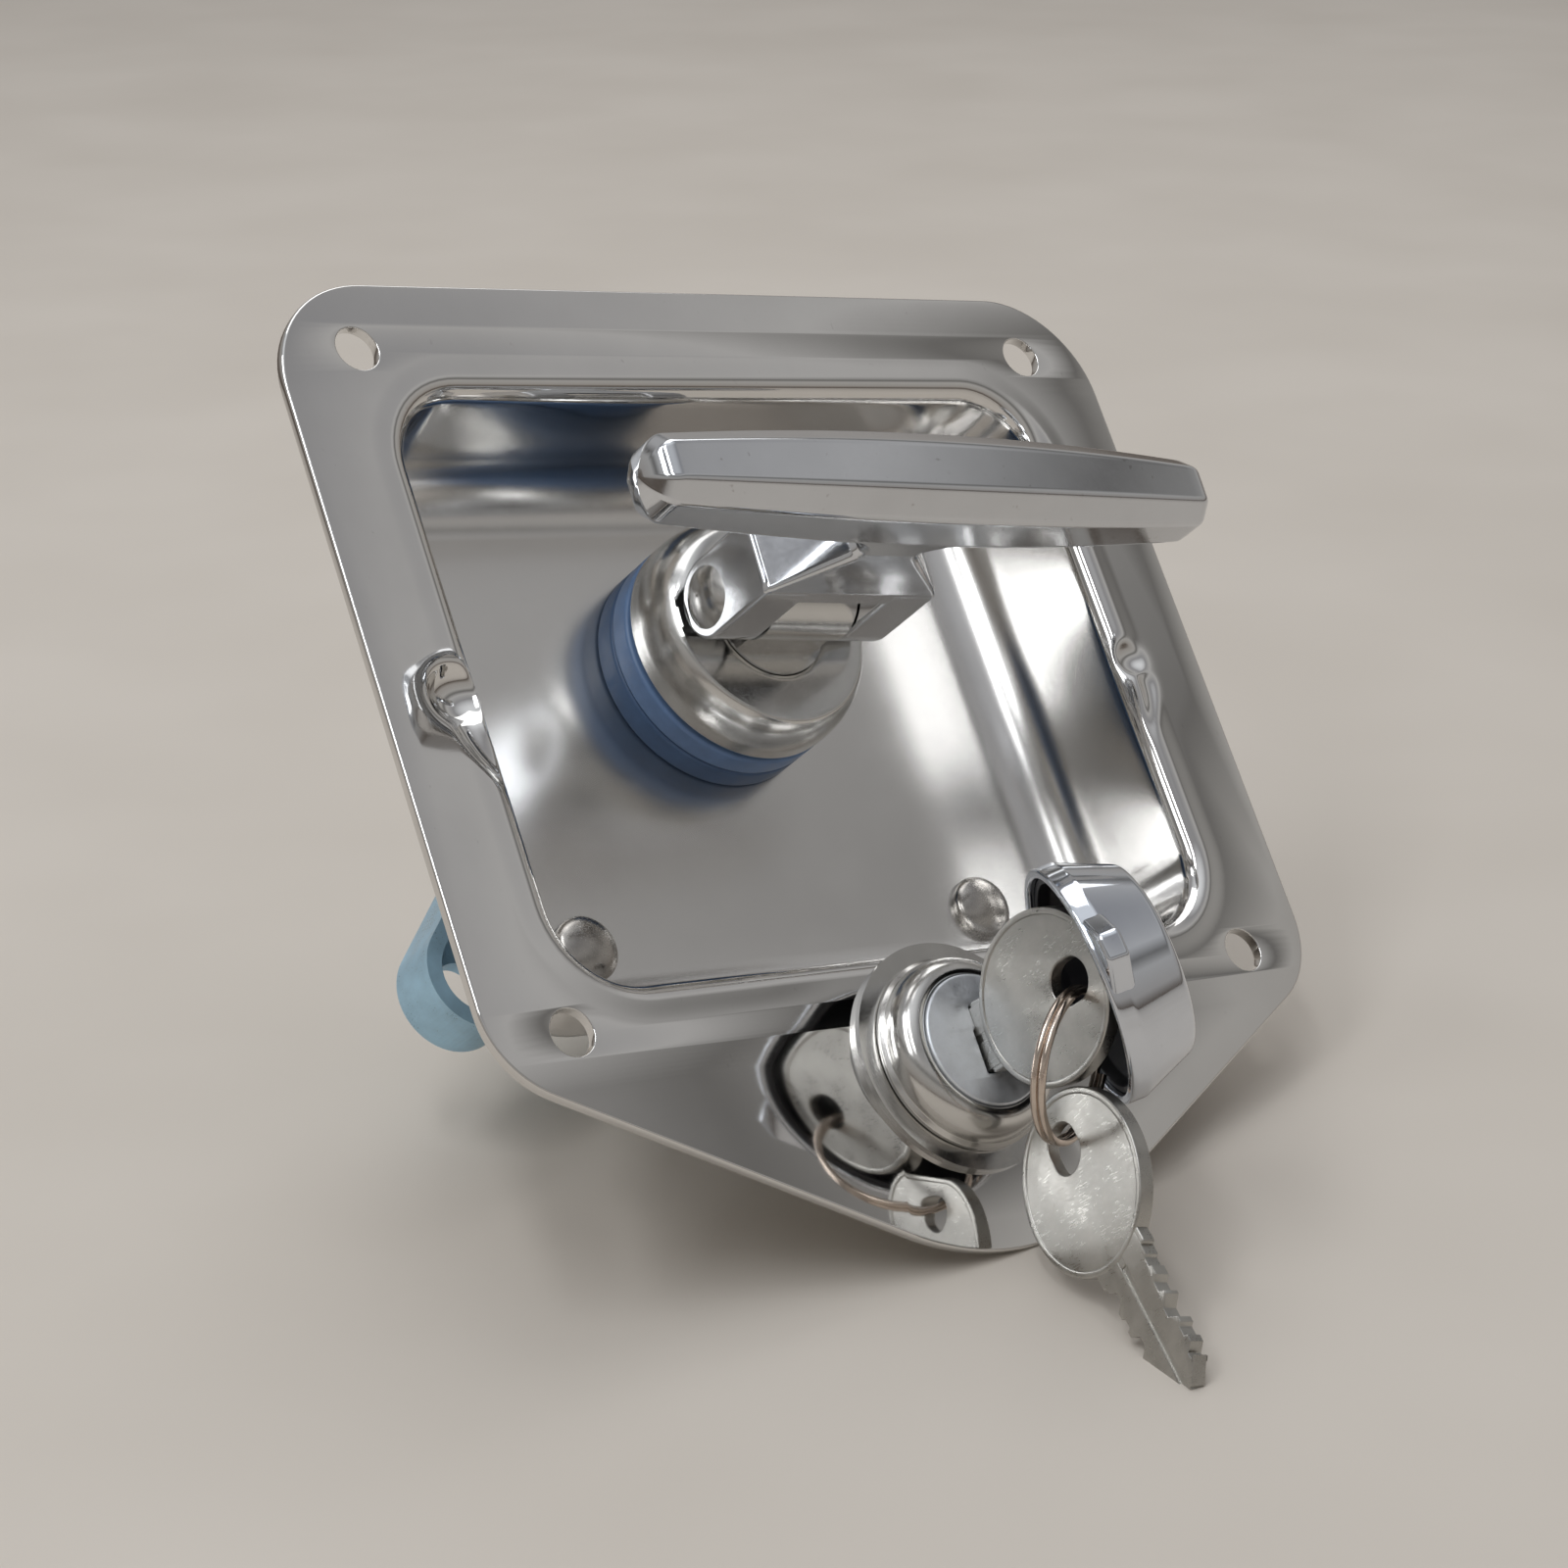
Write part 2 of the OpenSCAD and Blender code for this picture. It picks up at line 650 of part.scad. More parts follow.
// Strap over the guide, held by the two pan rivets.
module slide_bracket() {
    foot_l = 11;
    reach = rivet_x + foot_l / 2;
    riser = guide_w / 2 + face_gap;
    color([0.78, 0.78, 0.74]) facing() difference() {
        translate([0, rivet_z + guide_h / 2, 0]) rotate([90, 0, 0]) linear_extrude(guide_h) polygon([
            [-reach, floor_back], [-riser, floor_back], [-riser, guide_back], [riser, guide_back],
            [riser, floor_back], [reach, floor_back], [reach, floor_back - bracket_t],
            [riser + bracket_t, floor_back - bracket_t], [riser + bracket_t, guide_back - bracket_t],
            [-riser - bracket_t, guide_back - bracket_t], [-riser - bracket_t, floor_back - bracket_t],
            [-reach, floor_back - bracket_t]
        ]);
        for (s = [-1, 1]) {
            translate([s * rivet_x, rivet_z, floor_back - bracket_t - 1])
                cylinder(d = rivet_d + 2 * run_gap, h = bracket_t + 2);
        }
    }
}

// The slide's tongue enters the disc, and its cross slot takes the tail pin.
module lock_slide() {
    slot_h = tail_pin_d + 0.5;
    slot_l = 2.4;
    tongue_w = slide_w - 3.6;
    color([0.7, 0.7, 0.68]) facing() translate([0, 0, slide_front - slide_t]) linear_extrude(slide_t) difference() {
        union() {
            translate([-slide_w / 2, slide_foot]) square([slide_w, slide_tip - tongue_l + 1 - slide_foot]);
            translate([-tongue_w / 2, slide_tip - tongue_l]) square([tongue_w, tongue_l]);
            translate([-slide_foot_w / 2, slide_foot]) square([slide_foot_w, 2 * throw_r + 3]);
        }
        translate([tail_pin_x, lock_z + tail_pin_z]) {
            circle(d = slot_h);
            translate([-slot_l, 0]) circle(d = slot_h);
            translate([-slot_l, -slot_h / 2]) square([slot_l, slot_h]);
        }
    }
}

// Barrel with a domed bezel that narrows to the plug face.
module lock_body() {
    bezel_r = bezel_d / 2;
    plug_r = plug_d / 2 + run_gap;
    foot = ring_front + 0.1;
    rise = bezel_top - foot - 1;
    color([0.72, 0.72, 0.71]) at_lock() rotate_extrude() polygon(concat(
        [[plug_r, plug_back], [barrel_d / 2 - 0.6, plug_back], [barrel_d / 2, plug_back + 0.6]],
        [[barrel_d / 2, foot], [bezel_r, foot], [bezel_r, foot + 0.6], [bezel_r - 0.5, foot + 1]],
        [for (i = [1 : 9]) [
            plug_r + 0.3 + (bezel_r - 0.8 - plug_r) * cos(10 * i),
            foot + 1 + rise * sin(10 * i)
        ]],
        [[plug_r, bezel_top]]
    ));
}

module lock_nut() {
    low = -lock_washer_t - lock_nut_t;
    color([0.78, 0.76, 0.62]) at_lock() difference() {
        hex(lock_nut_af, low, -lock_washer_t);
        translate([0, 0, low - 1]) cylinder(d = barrel_d + 2 * run_gap, h = lock_nut_t + 2);
    }
}

module lock_nut_washer() {
    color([0.6, 0.6, 0.58]) at_lock() ring(lock_nut_af, barrel_d + 2 * run_gap, -lock_washer_t, 0);
}

// Ring round the barrel under the bezel, with two ears for the cap's hinge pin.
module hinge_ring() {
    ear_r = 2.2;
    ear_t = 1.6;
    color([0.74, 0.73, 0.72]) at_lock() rotate([0, 0, cap_hinge_dir]) {
        difference() {
            union() {
                ring(hinge_ring_d, 0, front, ring_front);
                translate([hinge_ring_d / 2 - 3, -lug_w / 2 - ear_t - 0.1, front])
                    cube([cap_hinge_r - hinge_ring_d / 2 + 5, lug_w + 2 * ear_t + 0.2, hinge_ring_t]);
            }
            translate([0, 0, front - 1]) cylinder(d = barrel_d + 2 * run_gap, h = 4);
        }
        for (s = [-1, 1]) translate([cap_hinge_r, s * (lug_w + ear_t + 0.2) / 2, 0]) rotate([90, 0, 0]) difference() {
            linear_extrude(ear_t, center = true) {
                translate([0, front + cap_hinge_h]) circle(r = ear_r);
                translate([-ear_r, front]) square([2 * ear_r, cap_hinge_h]);
            }
            translate([0, front + cap_hinge_h, 0]) cylinder(d = cap_pin_d + 2 * run_gap, h = ear_t + 2, center = true);
        }
    }
}

module lock_plug() {
    color([0.74, 0.76, 0.79]) at_lock() difference() {
        ring(plug_d, 0, plug_back, plug_top);
        translate([-keyway_w / 2, -keyway_h / 2, plug_top - blade_l - 2]) cube([keyway_w, keyway_h, blade_l + 3]);
        for (i = [0 : wafer_count - 1]) translate([-3.6, -6.9, plug_top - 3.4 - i * wafer_pitch - wafer_t])
            cube([7.2, 13.8, wafer_t + 0.2]);
        translate([0, 0, plug_back - 1]) cylinder(d = tail_screw_d, h = 4.5);
    }
}

// Five brass wafers, each with a window round the key blade.
module wafer_tumblers() {
    color([0.8, 0.66, 0.36]) at_lock() for (i = [0 : wafer_count - 1]) {
        translate([0, 0, plug_top - 3.4 - i * wafer_pitch - wafer_t + 0.1]) linear_extrude(wafer_t) difference() {
            square([6.8, 13.2], center = true);
            square([keyway_w + 0.2, keyway_h + 0.2], center = true);
        }
    }
}

module tail_cam() {
    color([0.7, 0.7, 0.68]) at_lock() {
        translate([0, 0, slide_front + face_gap]) difference() {
            linear_extrude(plug_back - slide_front - face_gap) rotate([0, 0, 225])
                tapered_link(tail_boss_r, tail_tip_r, throw_r);
            translate([0, 0, -1]) cylinder(d = tail_screw_d + 2 * run_gap, h = through);
        }
        translate([tail_pin_x, tail_pin_z, slide_front - slide_t - 0.6])
            cylinder(d = tail_pin_d, h = slide_t + 0.6 + face_gap + 0.4);
    }
}

module tail_screw() {
    color([0.3, 0.3, 0.32]) at_lock() ring(tail_screw_d, 0, slide_front + face_gap, plug_back + 3);
}

// Puts the cap's own frame in place: x to the hinge, z along the cap's axis, rim at 0.
module at_cap() {
    at_lock() rotate([0, 0, cap_hinge_dir]) translate([cap_hinge_r, 0, front + cap_hinge_h])
        rotate([0, cap_open, 0]) translate([-cap_hinge_r, 0, -cap_offset]) children();
}

module cap_profile(inset, low) {
    rim_r = cap_d / 2 - inset;
    top_r = cap_top_d / 2 - inset * 0.9;
    top = cap_h - inset;
    polygon([[0, low], [rim_r, low], [rim_r, cap_band], [top_r, top], [0, top]]);
}

// Cup with a straight band and a tapered side, a lift tab and a hinge lug.
module weather_cap() {
    tab_l = 3.2;
    color([0.74, 0.76, 0.8]) at_cap() difference() {
        union() {
            rotate_extrude($fn = 96) cap_profile(0, 0);
            rotate([90, 0, 0]) linear_extrude(lug_w, center = true) {
                translate([cap_hinge_r, cap_offset]) circle(r = lug_r);
                polygon([
                    [cap_d / 2 - 2.6, 2], [cap_hinge_r, cap_offset - lug_r],
                    [cap_hinge_r, cap_offset + lug_r], [cap_top_d / 2, 7.4]
                ]);
            }
            translate([0, 0, 0.2]) linear_extrude(3.2) polygon([
                [-cap_d / 2 + 1, -4.6], [-cap_d / 2 - tab_l, -1.6], [-cap_d / 2 - tab_l, 1.6], [-cap_d / 2 + 1, 4.6]
            ]);
        }
        translate([0, 0, -1]) rotate_extrude($fn = 96) translate([0, 1]) cap_profile(cap_wall, -1);
        translate([cap_hinge_r, 0, cap_offset]) rotate([90, 0, 0])
            cylinder(d = cap_pin_d + 2 * run_gap, h = lug_w + 2, center = true);
    }
}

module cap_liner() {
    rim_r = cap_d / 2 - cap_wall - 0.02;
    top_r = cap_top_d / 2 - cap_wall * 0.9 - 0.02;
    top = cap_h - cap_wall;
    color([0.08, 0.08, 0.1]) at_cap() rotate_extrude($fn = 96) polygon([
        [0, top - liner_t], [top_r - liner_t, top - liner_t], [rim_r - liner_t, cap_band], [rim_r - liner_t, 0.8],
        [rim_r, 0.8], [rim_r, cap_band], [top_r, top], [0, top]
    ]);
}

module cap_hinge_pin() {
    pin_l = lug_w + 2 * 1.6 + 1.4;
    color([0.55, 0.55, 0.56]) at_lock() rotate([0, 0, cap_hinge_dir])
        translate([cap_hinge_r, 0, front + cap_hinge_h]) rotate([90, 0, 0])
            cylinder(d = cap_pin_d, h = pin_l, center = true);
}

// Flat key in its own frame: x along the blade from the bow, y across, bow hole at the far end.
module key_blank() {
    shoulder = key_gap - face_gap;
    cut_pitch = 3.1;
    cut_depths = [1.1, 0.5, 1.3, 0.8, 0.4];
    linear_extrude(key_t, center = true) difference() {
        union() {
            translate([-bow_l / 2, 0]) scale([bow_l / bow_w, 1]) circle(d = bow_w, $fn = 96);
            translate([-2.4, -blade_w / 2 - 0.6]) square([2.4 + shoulder, blade_w + 1.2]);
            polygon([
                [0, -blade_w / 2], [blade_l - 3, -blade_w / 2], [blade_l, -1.2],
                [blade_l, 1.2], [blade_l - 3, blade_w / 2], [0, blade_w / 2]
            ]);
        }
        translate([-bow_l + bow_hole_in, 0]) {
            circle(d = bow_hole_d);
            translate([bow_hole_slot, 0]) circle(d = bow_hole_d);
            translate([0, -bow_hole_d / 2]) square([bow_hole_slot, bow_hole_d]);
        }
        for (i = [0 : len(cut_depths) - 1], s = [-1, 1]) {
            depth = s > 0 ? cut_depths[i] : cut_depths[len(cut_depths) - 1 - i];
            translate([shoulder + 2 + i * cut_pitch, s * blade_w / 2]) polygon([
                [-0.6 - depth, s * 0.5], [-0.6, -s * depth], [0.6, -s * depth], [0.6 + depth, s * 0.5]
            ]);
        }
    }
}

module key_in_lock() {
    color([0.62, 0.6, 0.57]) translate([0, 0, lock_z]) translate([0, -bow_back, 0]) rotate([0, 0, 90])
        rotate([90, 0, 0]) difference() {
            key_blank();
            for (s = [-1, 1]) translate([2, -0.5, s * key_t / 2 - 0.3]) cube([blade_l, 1, 0.6]);
        }
}

// Where the split ring passes through the bow of the key in the lock.
ring_top = [0, -(bow_back + bow_l - bow_hole_in), lock_z];
ring_down = [0, sin(split_tilt), -cos(split_tilt)];
ring_centre = ring_top + (split_r + hang) * ring_down;
spare_hang = ring_centre + split_r * ring_down;

module key_ring() {
    color([0.68, 0.6, 0.54]) translate(ring_centre) rotate([90 + split_tilt, 0, 0]) rotate([0, split_turn, 0])
        for (s = [-1, 1]) translate([0, 0, s * split_wire * 0.5])
            rotate_extrude($fn = 96) translate([split_r, 0]) circle(d = split_wire * 1.04, $fn = 24);
}

module spare_key() {
    color([0.6, 0.58, 0.55]) translate(spare_hang) rotate([0, spare_roll, 0]) rotate([-spare_lean, 0, 0])
        rotate([0, 90, 0]) translate([bow_l - bow_hole_in + spare_seat, 0, 0]) difference() {
            key_blank();
            for (s = [-1, 1]) translate([2, -0.5, s * key_t / 2 - 0.3]) cube([blade_l, 1, 0.6]);
        }
}

tray();
pan_rivets();
seal_ring();
bearing_ring();
collar();
spindle();
handle_pin();
t_handle();
rear_bush();
lock_disc();
arm_spacer();
latch_arm();
arm_washer();
spring_washer();
arm_nut();
slide_guide();
slide_bracket();
lock_slide();
lock_body();
lock_nut();
lock_nut_washer();
hinge_ring();
lock_plug();
wafer_tumblers();
tail_cam();
tail_screw();
weather_cap();
cap_liner();
cap_hinge_pin();
key_in_lock();
key_ring();
spare_key();
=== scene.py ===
"""A flush T-handle lock: pressed bright pan, chromed folding T handle on a blue-ringed boss,
key lock with a hinged weather cap, keys on a split ring, and the latch arm behind.

Shapes are worked out in millimetres in the panel's own drawing plane: x to the right, y up and
h outwards from the back of the flange. to_row() turns them into the frame's metres."""

import math

import bmesh
import bpy
import numpy as np
from mathutils import Matrix, Vector
from mathutils.geometry import tessellate_polygon


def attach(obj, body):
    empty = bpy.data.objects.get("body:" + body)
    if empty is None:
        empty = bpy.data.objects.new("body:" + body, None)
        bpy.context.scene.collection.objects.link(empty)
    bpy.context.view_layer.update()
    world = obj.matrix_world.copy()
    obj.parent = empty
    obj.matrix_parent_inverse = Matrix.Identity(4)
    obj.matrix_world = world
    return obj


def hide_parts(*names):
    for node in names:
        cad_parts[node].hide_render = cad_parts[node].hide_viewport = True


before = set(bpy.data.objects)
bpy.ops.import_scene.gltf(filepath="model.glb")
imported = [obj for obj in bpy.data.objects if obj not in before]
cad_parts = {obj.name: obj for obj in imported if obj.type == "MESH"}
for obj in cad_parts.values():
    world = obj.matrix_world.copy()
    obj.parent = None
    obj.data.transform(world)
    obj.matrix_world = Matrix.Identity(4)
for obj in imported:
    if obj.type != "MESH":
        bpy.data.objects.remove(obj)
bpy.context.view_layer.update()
MM = 0.001

# Driving sizes of the lock, as in the part's source.
SHEET = 1.5
FRONT = SHEET
FLANGE_W, FLANGE_TOP = 123.6, 50.9
SHOULDER, SLOPE = 45.8, math.radians(27.9)
TOP_R, LOWER_R, POINT_R = 14.0, 12.0, 32.0
HOLE_X, HOLE_Z, HOLE_R = 50.8, 42.3, 2.78
PAN_HALF_W, PAN_TOP, PAN_BOTTOM, PAN_DEPTH = 48.2, 36.4, 37.2, 21.0
PAN_CORNER, MOUTH_R, FLOOR_R, DRAFT = 9.6, 2.6, 7.5, math.radians(4)
FLOOR = FRONT - PAN_DEPTH
PAN_MID = (PAN_TOP - PAN_BOTTOM) / 2
PAN_HALF_H = (PAN_TOP + PAN_BOTTOM) / 2
DIMPLE_Z = -1.7
BOSS_Z, REST_TURN = 8.8, math.radians(3)
LOCK_Z, BARREL_R = -51.0, 9.35


def to_row(points):
    """Drawing plane (x, y, h) in mm to the frame (x, -h, y) in metres."""
    p = np.asarray(points, float)
    return np.stack([p[..., 0], -p[..., 2], p[..., 1]], -1) * MM


def turned(points, angle):
    """Turns points in the drawing plane clockwise by the angle, about x = y = 0."""
    p = np.array(points, float)
    c, s = math.cos(angle), math.sin(angle)
    x, y = p[..., 0].copy(), p[..., 1].copy()
    p[..., 0] = x * c + y * s
    p[..., 1] = -x * s + y * c
    return p


def on_boss(points):
    """Places a shape drawn about the spindle axis, with the handle's resting turn."""
    return turned(points, REST_TURN) + np.array([0, BOSS_Z, 0])


def on_lock(points):
    return np.asarray(points, float) + np.array([0, LOCK_Z, 0])


def smooth(t):
    """Rises from 0 to 1 with level ends: 3 t^2 - 2 t^3."""
    t = np.clip(t, 0, 1)
    return t * t * (3 - 2 * t)


class Skin:
    """Gathers grids and flat caps, and turns them into one closed mesh piece."""

    def __init__(self):
        self.points, self.faces, self.soft, self.count = [], [], [], 0

    def _add(self, p):
        first = self.count
        self.points.append(np.asarray(p, float).reshape(-1, 3))
        self.count += len(self.points[-1])
        return first

    def grid(self, p, wrap_rows=False, wrap_cols=True):
        """Quads between the rows and columns of a (rows, cols, 3) array."""
        rows, cols = p.shape[:2]
        ids = self._add(p) + np.arange(rows * cols).reshape(rows, cols)
        if wrap_rows:
            ids = np.vstack([ids, ids[:1]])
        if wrap_cols:
            ids = np.hstack([ids, ids[:, :1]])
        quads = np.stack([ids[:-1, :-1], ids[:-1, 1:], ids[1:, 1:], ids[1:, :-1]], -1).reshape(-1, 4)
        self.faces += quads.tolist()
        self.soft += [True] * len(quads)

    def cap(self, loops):
        """A flat face inside the first loop and outside the others."""
        first = self._add(np.concatenate(loops))
        flat = [[Vector(q) for q in loop] for loop in loops]
        made = [[first + i for i in tri] for tri in tessellate_polygon(flat)]
        self.faces += made
        self.soft += [False] * len(made)

    def build(self, name, body, material, nodes=(), sharp=35, weigh=False):
        mesh = bpy.data.meshes.new(name)
        mesh.from_pydata(to_row(np.concatenate(self.points)).tolist(), [], self.faces)
        mesh.polygons.foreach_set("use_smooth", self.soft)
        bm = bmesh.new()
        bm.from_mesh(mesh)
        bmesh.ops.remove_doubles(bm, verts=bm.verts, dist=2e-7)
        bmesh.ops.recalc_face_normals(bm, faces=bm.faces)
        bm.to_mesh(mesh)
        bm.free()
        mesh.set_sharp_from_angle(angle=math.radians(sharp))
        piece = bpy.data.objects.new(name, mesh)
        bpy.context.scene.collection.objects.link(piece)
        mesh.materials.append(material)
        if weigh:
            piece.modifiers.new("flat_faces", "WEIGHTED_NORMAL").keep_sharp = True
        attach(piece, body)
        if nodes:
            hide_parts(*nodes)
        return piece


def arc(centre, radius, start, end, steps):
    """Points on a circle from one angle to another, in radians."""
    a = np.linspace(start, end, steps + 1)
    return np.stack([centre[0] + radius * np.cos(a), centre[1] + radius * np.sin(a)], -1)


def circle(centre, radius, steps):
    return arc(centre, radius, 0, 2 * math.pi * (1 - 1 / steps), steps - 1)


def rounded(line, radii, steps=5, closed=False):
    """Each corner P of a line gives way to an arc that touches both its sides:
    centre P + b r / sin(w), where b halves the corner and w is half its angle."""
    line = np.asarray(line, float)
    count = len(line)
    radii = np.broadcast_to(np.asarray(radii, float), count)
    out = []
    for i in range(count):
        p = line[i]
        if not closed and i in (0, count - 1):
            out.append(p[None])
            continue
        u, v = line[i - 1] - p, line[(i + 1) % count] - p
        lu, lv = np.linalg.norm(u), np.linalg.norm(v)
        u, v = u / lu, v / lv
        half = math.acos(float(np.clip(u @ v, -1, 1))) / 2
        if radii[i] <= 0 or half > math.pi / 2 - 0.02:
            out.append(p[None])
            continue
        touch = min(radii[i] / math.tan(half), 0.48 * lu, 0.48 * lv)
        r = touch * math.tan(half)
        mid = p + (u + v) / np.linalg.norm(u + v) * r / math.sin(half)
        a, b = p + u * touch - mid, p + v * touch - mid
        a0 = math.atan2(a[1], a[0])
        turn = (math.atan2(b[1], b[0]) - a0 + math.pi) % (2 * math.pi) - math.pi
        out.append(arc(mid, r, a0, a0 + turn, steps))
    return np.concatenate(out)


def inset(loop, depth):
    """Moves a closed anticlockwise loop inwards along its own normals."""
    back, ahead = np.roll(loop, 1, 0), np.roll(loop, -1, 0)
    e0, e1 = loop - back, ahead - loop
    n0 = np.stack([-e0[:, 1], e0[:, 0]], -1) / np.maximum(np.linalg.norm(e0, axis=1), 1e-9)[:, None]
    n1 = np.stack([-e1[:, 1], e1[:, 0]], -1) / np.maximum(np.linalg.norm(e1, axis=1), 1e-9)[:, None]
    n = n0 + n1
    n /= np.maximum((n * n).sum(1) / 2, 0.5)[:, None]
    return loop + n * depth


def at_height(loop, h):
    return np.concatenate([loop, np.full((len(loop), 1), h)], 1)


def plate(skin, outer, holes, low, high, bevel=0.3, steps=3, warp=None):
    """A flat plate with soft edges: each loop is carried up its wall, and near both faces it
    moves into the solid by b (1 - sin a) while its height moves by b (1 - cos a)."""
    warp = warp or (lambda p: p)
    a = np.linspace(0, math.pi / 2, steps + 1)
    sink = bevel * (1 - np.sin(a))
    rise = bevel * (1 - np.cos(a))
    rows = [(s, low + r) for s, r in zip(sink, rise)]
    rows += [(s, high - r) for s, r in zip(sink[::-1], rise[::-1])]
    caps = ([], [])
    for k, loop in enumerate([outer] + list(holes)):
        sign = 1 if k == 0 else -1
        skin.grid(warp(np.stack([at_height(inset(loop, sign * s), h) for s, h in rows])))
        for cap, h in zip(caps, (low, high)):
            cap.append(warp(at_height(inset(loop, sign * bevel), h)))
    for cap in caps:
        skin.cap(cap)


def spun(profile, steps=128):
    """A turned part: (r, h) of the profile becomes (r cos a, r sin a, h)."""
    profile = np.asarray(profile, float)
    a = np.linspace(0, 2 * math.pi, steps, endpoint=False)
    x = profile[:, :1] * np.cos(a)
    y = profile[:, :1] * np.sin(a)
    return np.stack([x, y, np.broadcast_to(profile[:, 1:], x.shape)], -1)


# Finishes. Each one is a Principled shader whose colour, roughness and bump come from noise
# on Object coordinates, sized in millimetres.

class Finish:
    """A material under construction: small helpers round its node tree."""

    def __init__(self, name):
        self.material = bpy.data.materials.new(name)
        self.material.use_nodes = True
        self.tree = self.material.node_tree
        self.shader = self.tree.nodes["Principled BSDF"]
        self.coords = self.tree.nodes.new("ShaderNodeTexCoord").outputs["Object"]

    def link(self, a, b):
        self.tree.links.new(a, b)

    def noise(self, size, detail=3.0, rough=0.5, stretch=(1, 1, 1), turn=(0, 0, 0)):
        """Noise whose marks are about size millimetres across, longer where stretch is above 1."""
        place = self.tree.nodes.new("ShaderNodeMapping")
        place.inputs["Scale"].default_value = [1 / s for s in stretch]
        place.inputs["Rotation"].default_value = turn
        self.link(self.coords, place.inputs["Vector"])
        grain = self.tree.nodes.new("ShaderNodeTexNoise")
        grain.inputs["Scale"].default_value = 1 / (size * MM)
        grain.inputs["Detail"].default_value = detail
        grain.inputs["Roughness"].default_value = rough
        self.link(place.outputs["Vector"], grain.inputs["Vector"])
        return grain.outputs["Fac"]

    def span(self, value, low, high, out_low, out_high):
        """Maps low..high of a value to out_low..out_high, and holds it there."""
        node = self.tree.nodes.new("ShaderNodeMapRange")
        node.inputs["From Min"].default_value = low
        node.inputs["From Max"].default_value = high
        node.inputs["To Min"].default_value = out_low
        node.inputs["To Max"].default_value = out_high
        self.link(value, node.inputs["Value"])
        return node.outputs["Result"]

    def mix(self, factor, a, b):
        """Colour a where the factor is 0, colour b where it is 1."""
        node = self.tree.nodes.new("ShaderNodeMix")
        node.data_type = "RGBA"
        self.link(factor, node.inputs[0])
        for socket, colour in ((node.inputs[6], a), (node.inputs[7], b)):
            if isinstance(colour, bpy.types.NodeSocket):
                self.link(colour, socket)
            else:
                socket.default_value = (*colour, 1)
        return node.outputs[2]

    def maths(self, operation, a, b):
        node = self.tree.nodes.new("ShaderNodeMath")
        node.operation = operation
        for socket, value in zip(node.inputs, (a, b)):
            if isinstance(value, bpy.types.NodeSocket):
                self.link(value, socket)
            else:
                socket.default_value = value
        return node.outputs[0]

    def bump(self, height, depth, under=None):
        """Tilts the surface by a height field depth millimetres deep."""
        node = self.tree.nodes.new("ShaderNodeBump")
        node.inputs["Strength"].default_value = 1.0
        node.inputs["Distance"].default_value = depth * MM
        self.link(height, node.inputs["Height"])
        if under is not None:
            self.link(under, node.inputs["Normal"])
        self.link(node.outputs["Normal"], self.shader.inputs["Normal"])
        return node.outputs["Normal"]


def tint(colour, by):
    return tuple(min(1.0, c * by) for c in colour)


def metal(name, colour, rough, cloud=0.06, cloud_size=7.0, grain_size=0.35, stretch=(1, 1, 1), turn=(0, 0, 0),
          grain_depth=0.001, wave_depth=0.0, specks=0.0, metallic=1.0, dirt=(0.25, 0.22, 0.19)):
    """Bare or plated metal: cloudy tone, directional grain in gloss and bump, slow waves in
    the sheet, and a few dark specks."""
    f = Finish(name)
    clouds = f.noise(cloud_size, 4.0, 0.55)
    grain = f.noise(grain_size, 4.0, 0.6, stretch, turn)
    tone = f.mix(f.span(clouds, 0.3, 0.7, 0, 1), tint(colour, 1 - cloud), tint(colour, 1 + cloud))
    if specks > 0:
        spots = f.noise(0.9, 2.0, 0.4)
        tone = f.mix(f.span(spots, 0.74 - 0.1 * specks, 0.8, 0, specks), tone, dirt)
    f.link(tone, f.shader.inputs["Base Color"])
    f.shader.inputs["Metallic"].default_value = metallic
    worn = f.maths("ADD", f.span(clouds, 0.3, 0.7, 0.8 * rough, 1.2 * rough),
                   f.span(grain, 0.3, 0.7, -0.25 * rough, 0.25 * rough))
    f.link(worn, f.shader.inputs["Roughness"])
    normal = f.bump(grain, grain_depth)
    if wave_depth > 0:
        f.bump(f.noise(11.0, 1.0, 0.3), wave_depth, normal)
    return f.material


def tray_finish():
    """Bright rolled stainless: nearly a mirror on the flange, drawn and satin on the pan's
    floor, with fine lines along x and small handling marks."""
    f = Finish("pressed_stainless")
    clouds = f.noise(14.0, 4.0, 0.55)
    lines = f.noise(0.16, 3.0, 0.6, (22, 1, 1))
    marks = f.noise(1.1, 3.0, 0.65, (1, 1, 1.6))
    place = f.tree.nodes.new("ShaderNodeSeparateXYZ")
    f.link(f.coords, place.inputs[0])
    depth = f.span(place.outputs["Y"], -0.002, 0.0195, 0, 1)
    tone = f.mix(f.span(clouds, 0.3, 0.7, 0, 1), (0.70, 0.69, 0.675), (0.745, 0.735, 0.72))
    tone = f.mix(f.span(marks, 0.70, 0.82, 0, 0.45), tone, (0.42, 0.40, 0.38))
    f.link(tone, f.shader.inputs["Base Color"])
    f.shader.inputs["Metallic"].default_value = 1.0
    gloss = f.maths("ADD", f.span(depth, 0.0, 1.0, 0.045, 0.24), f.span(clouds, 0.3, 0.7, -0.012, 0.02))
    f.link(gloss, f.shader.inputs["Roughness"])
    normal = f.bump(lines, 0.00035)
    f.bump(f.noise(16.0, 1.5, 0.3), 0.012, normal)
    return f.material


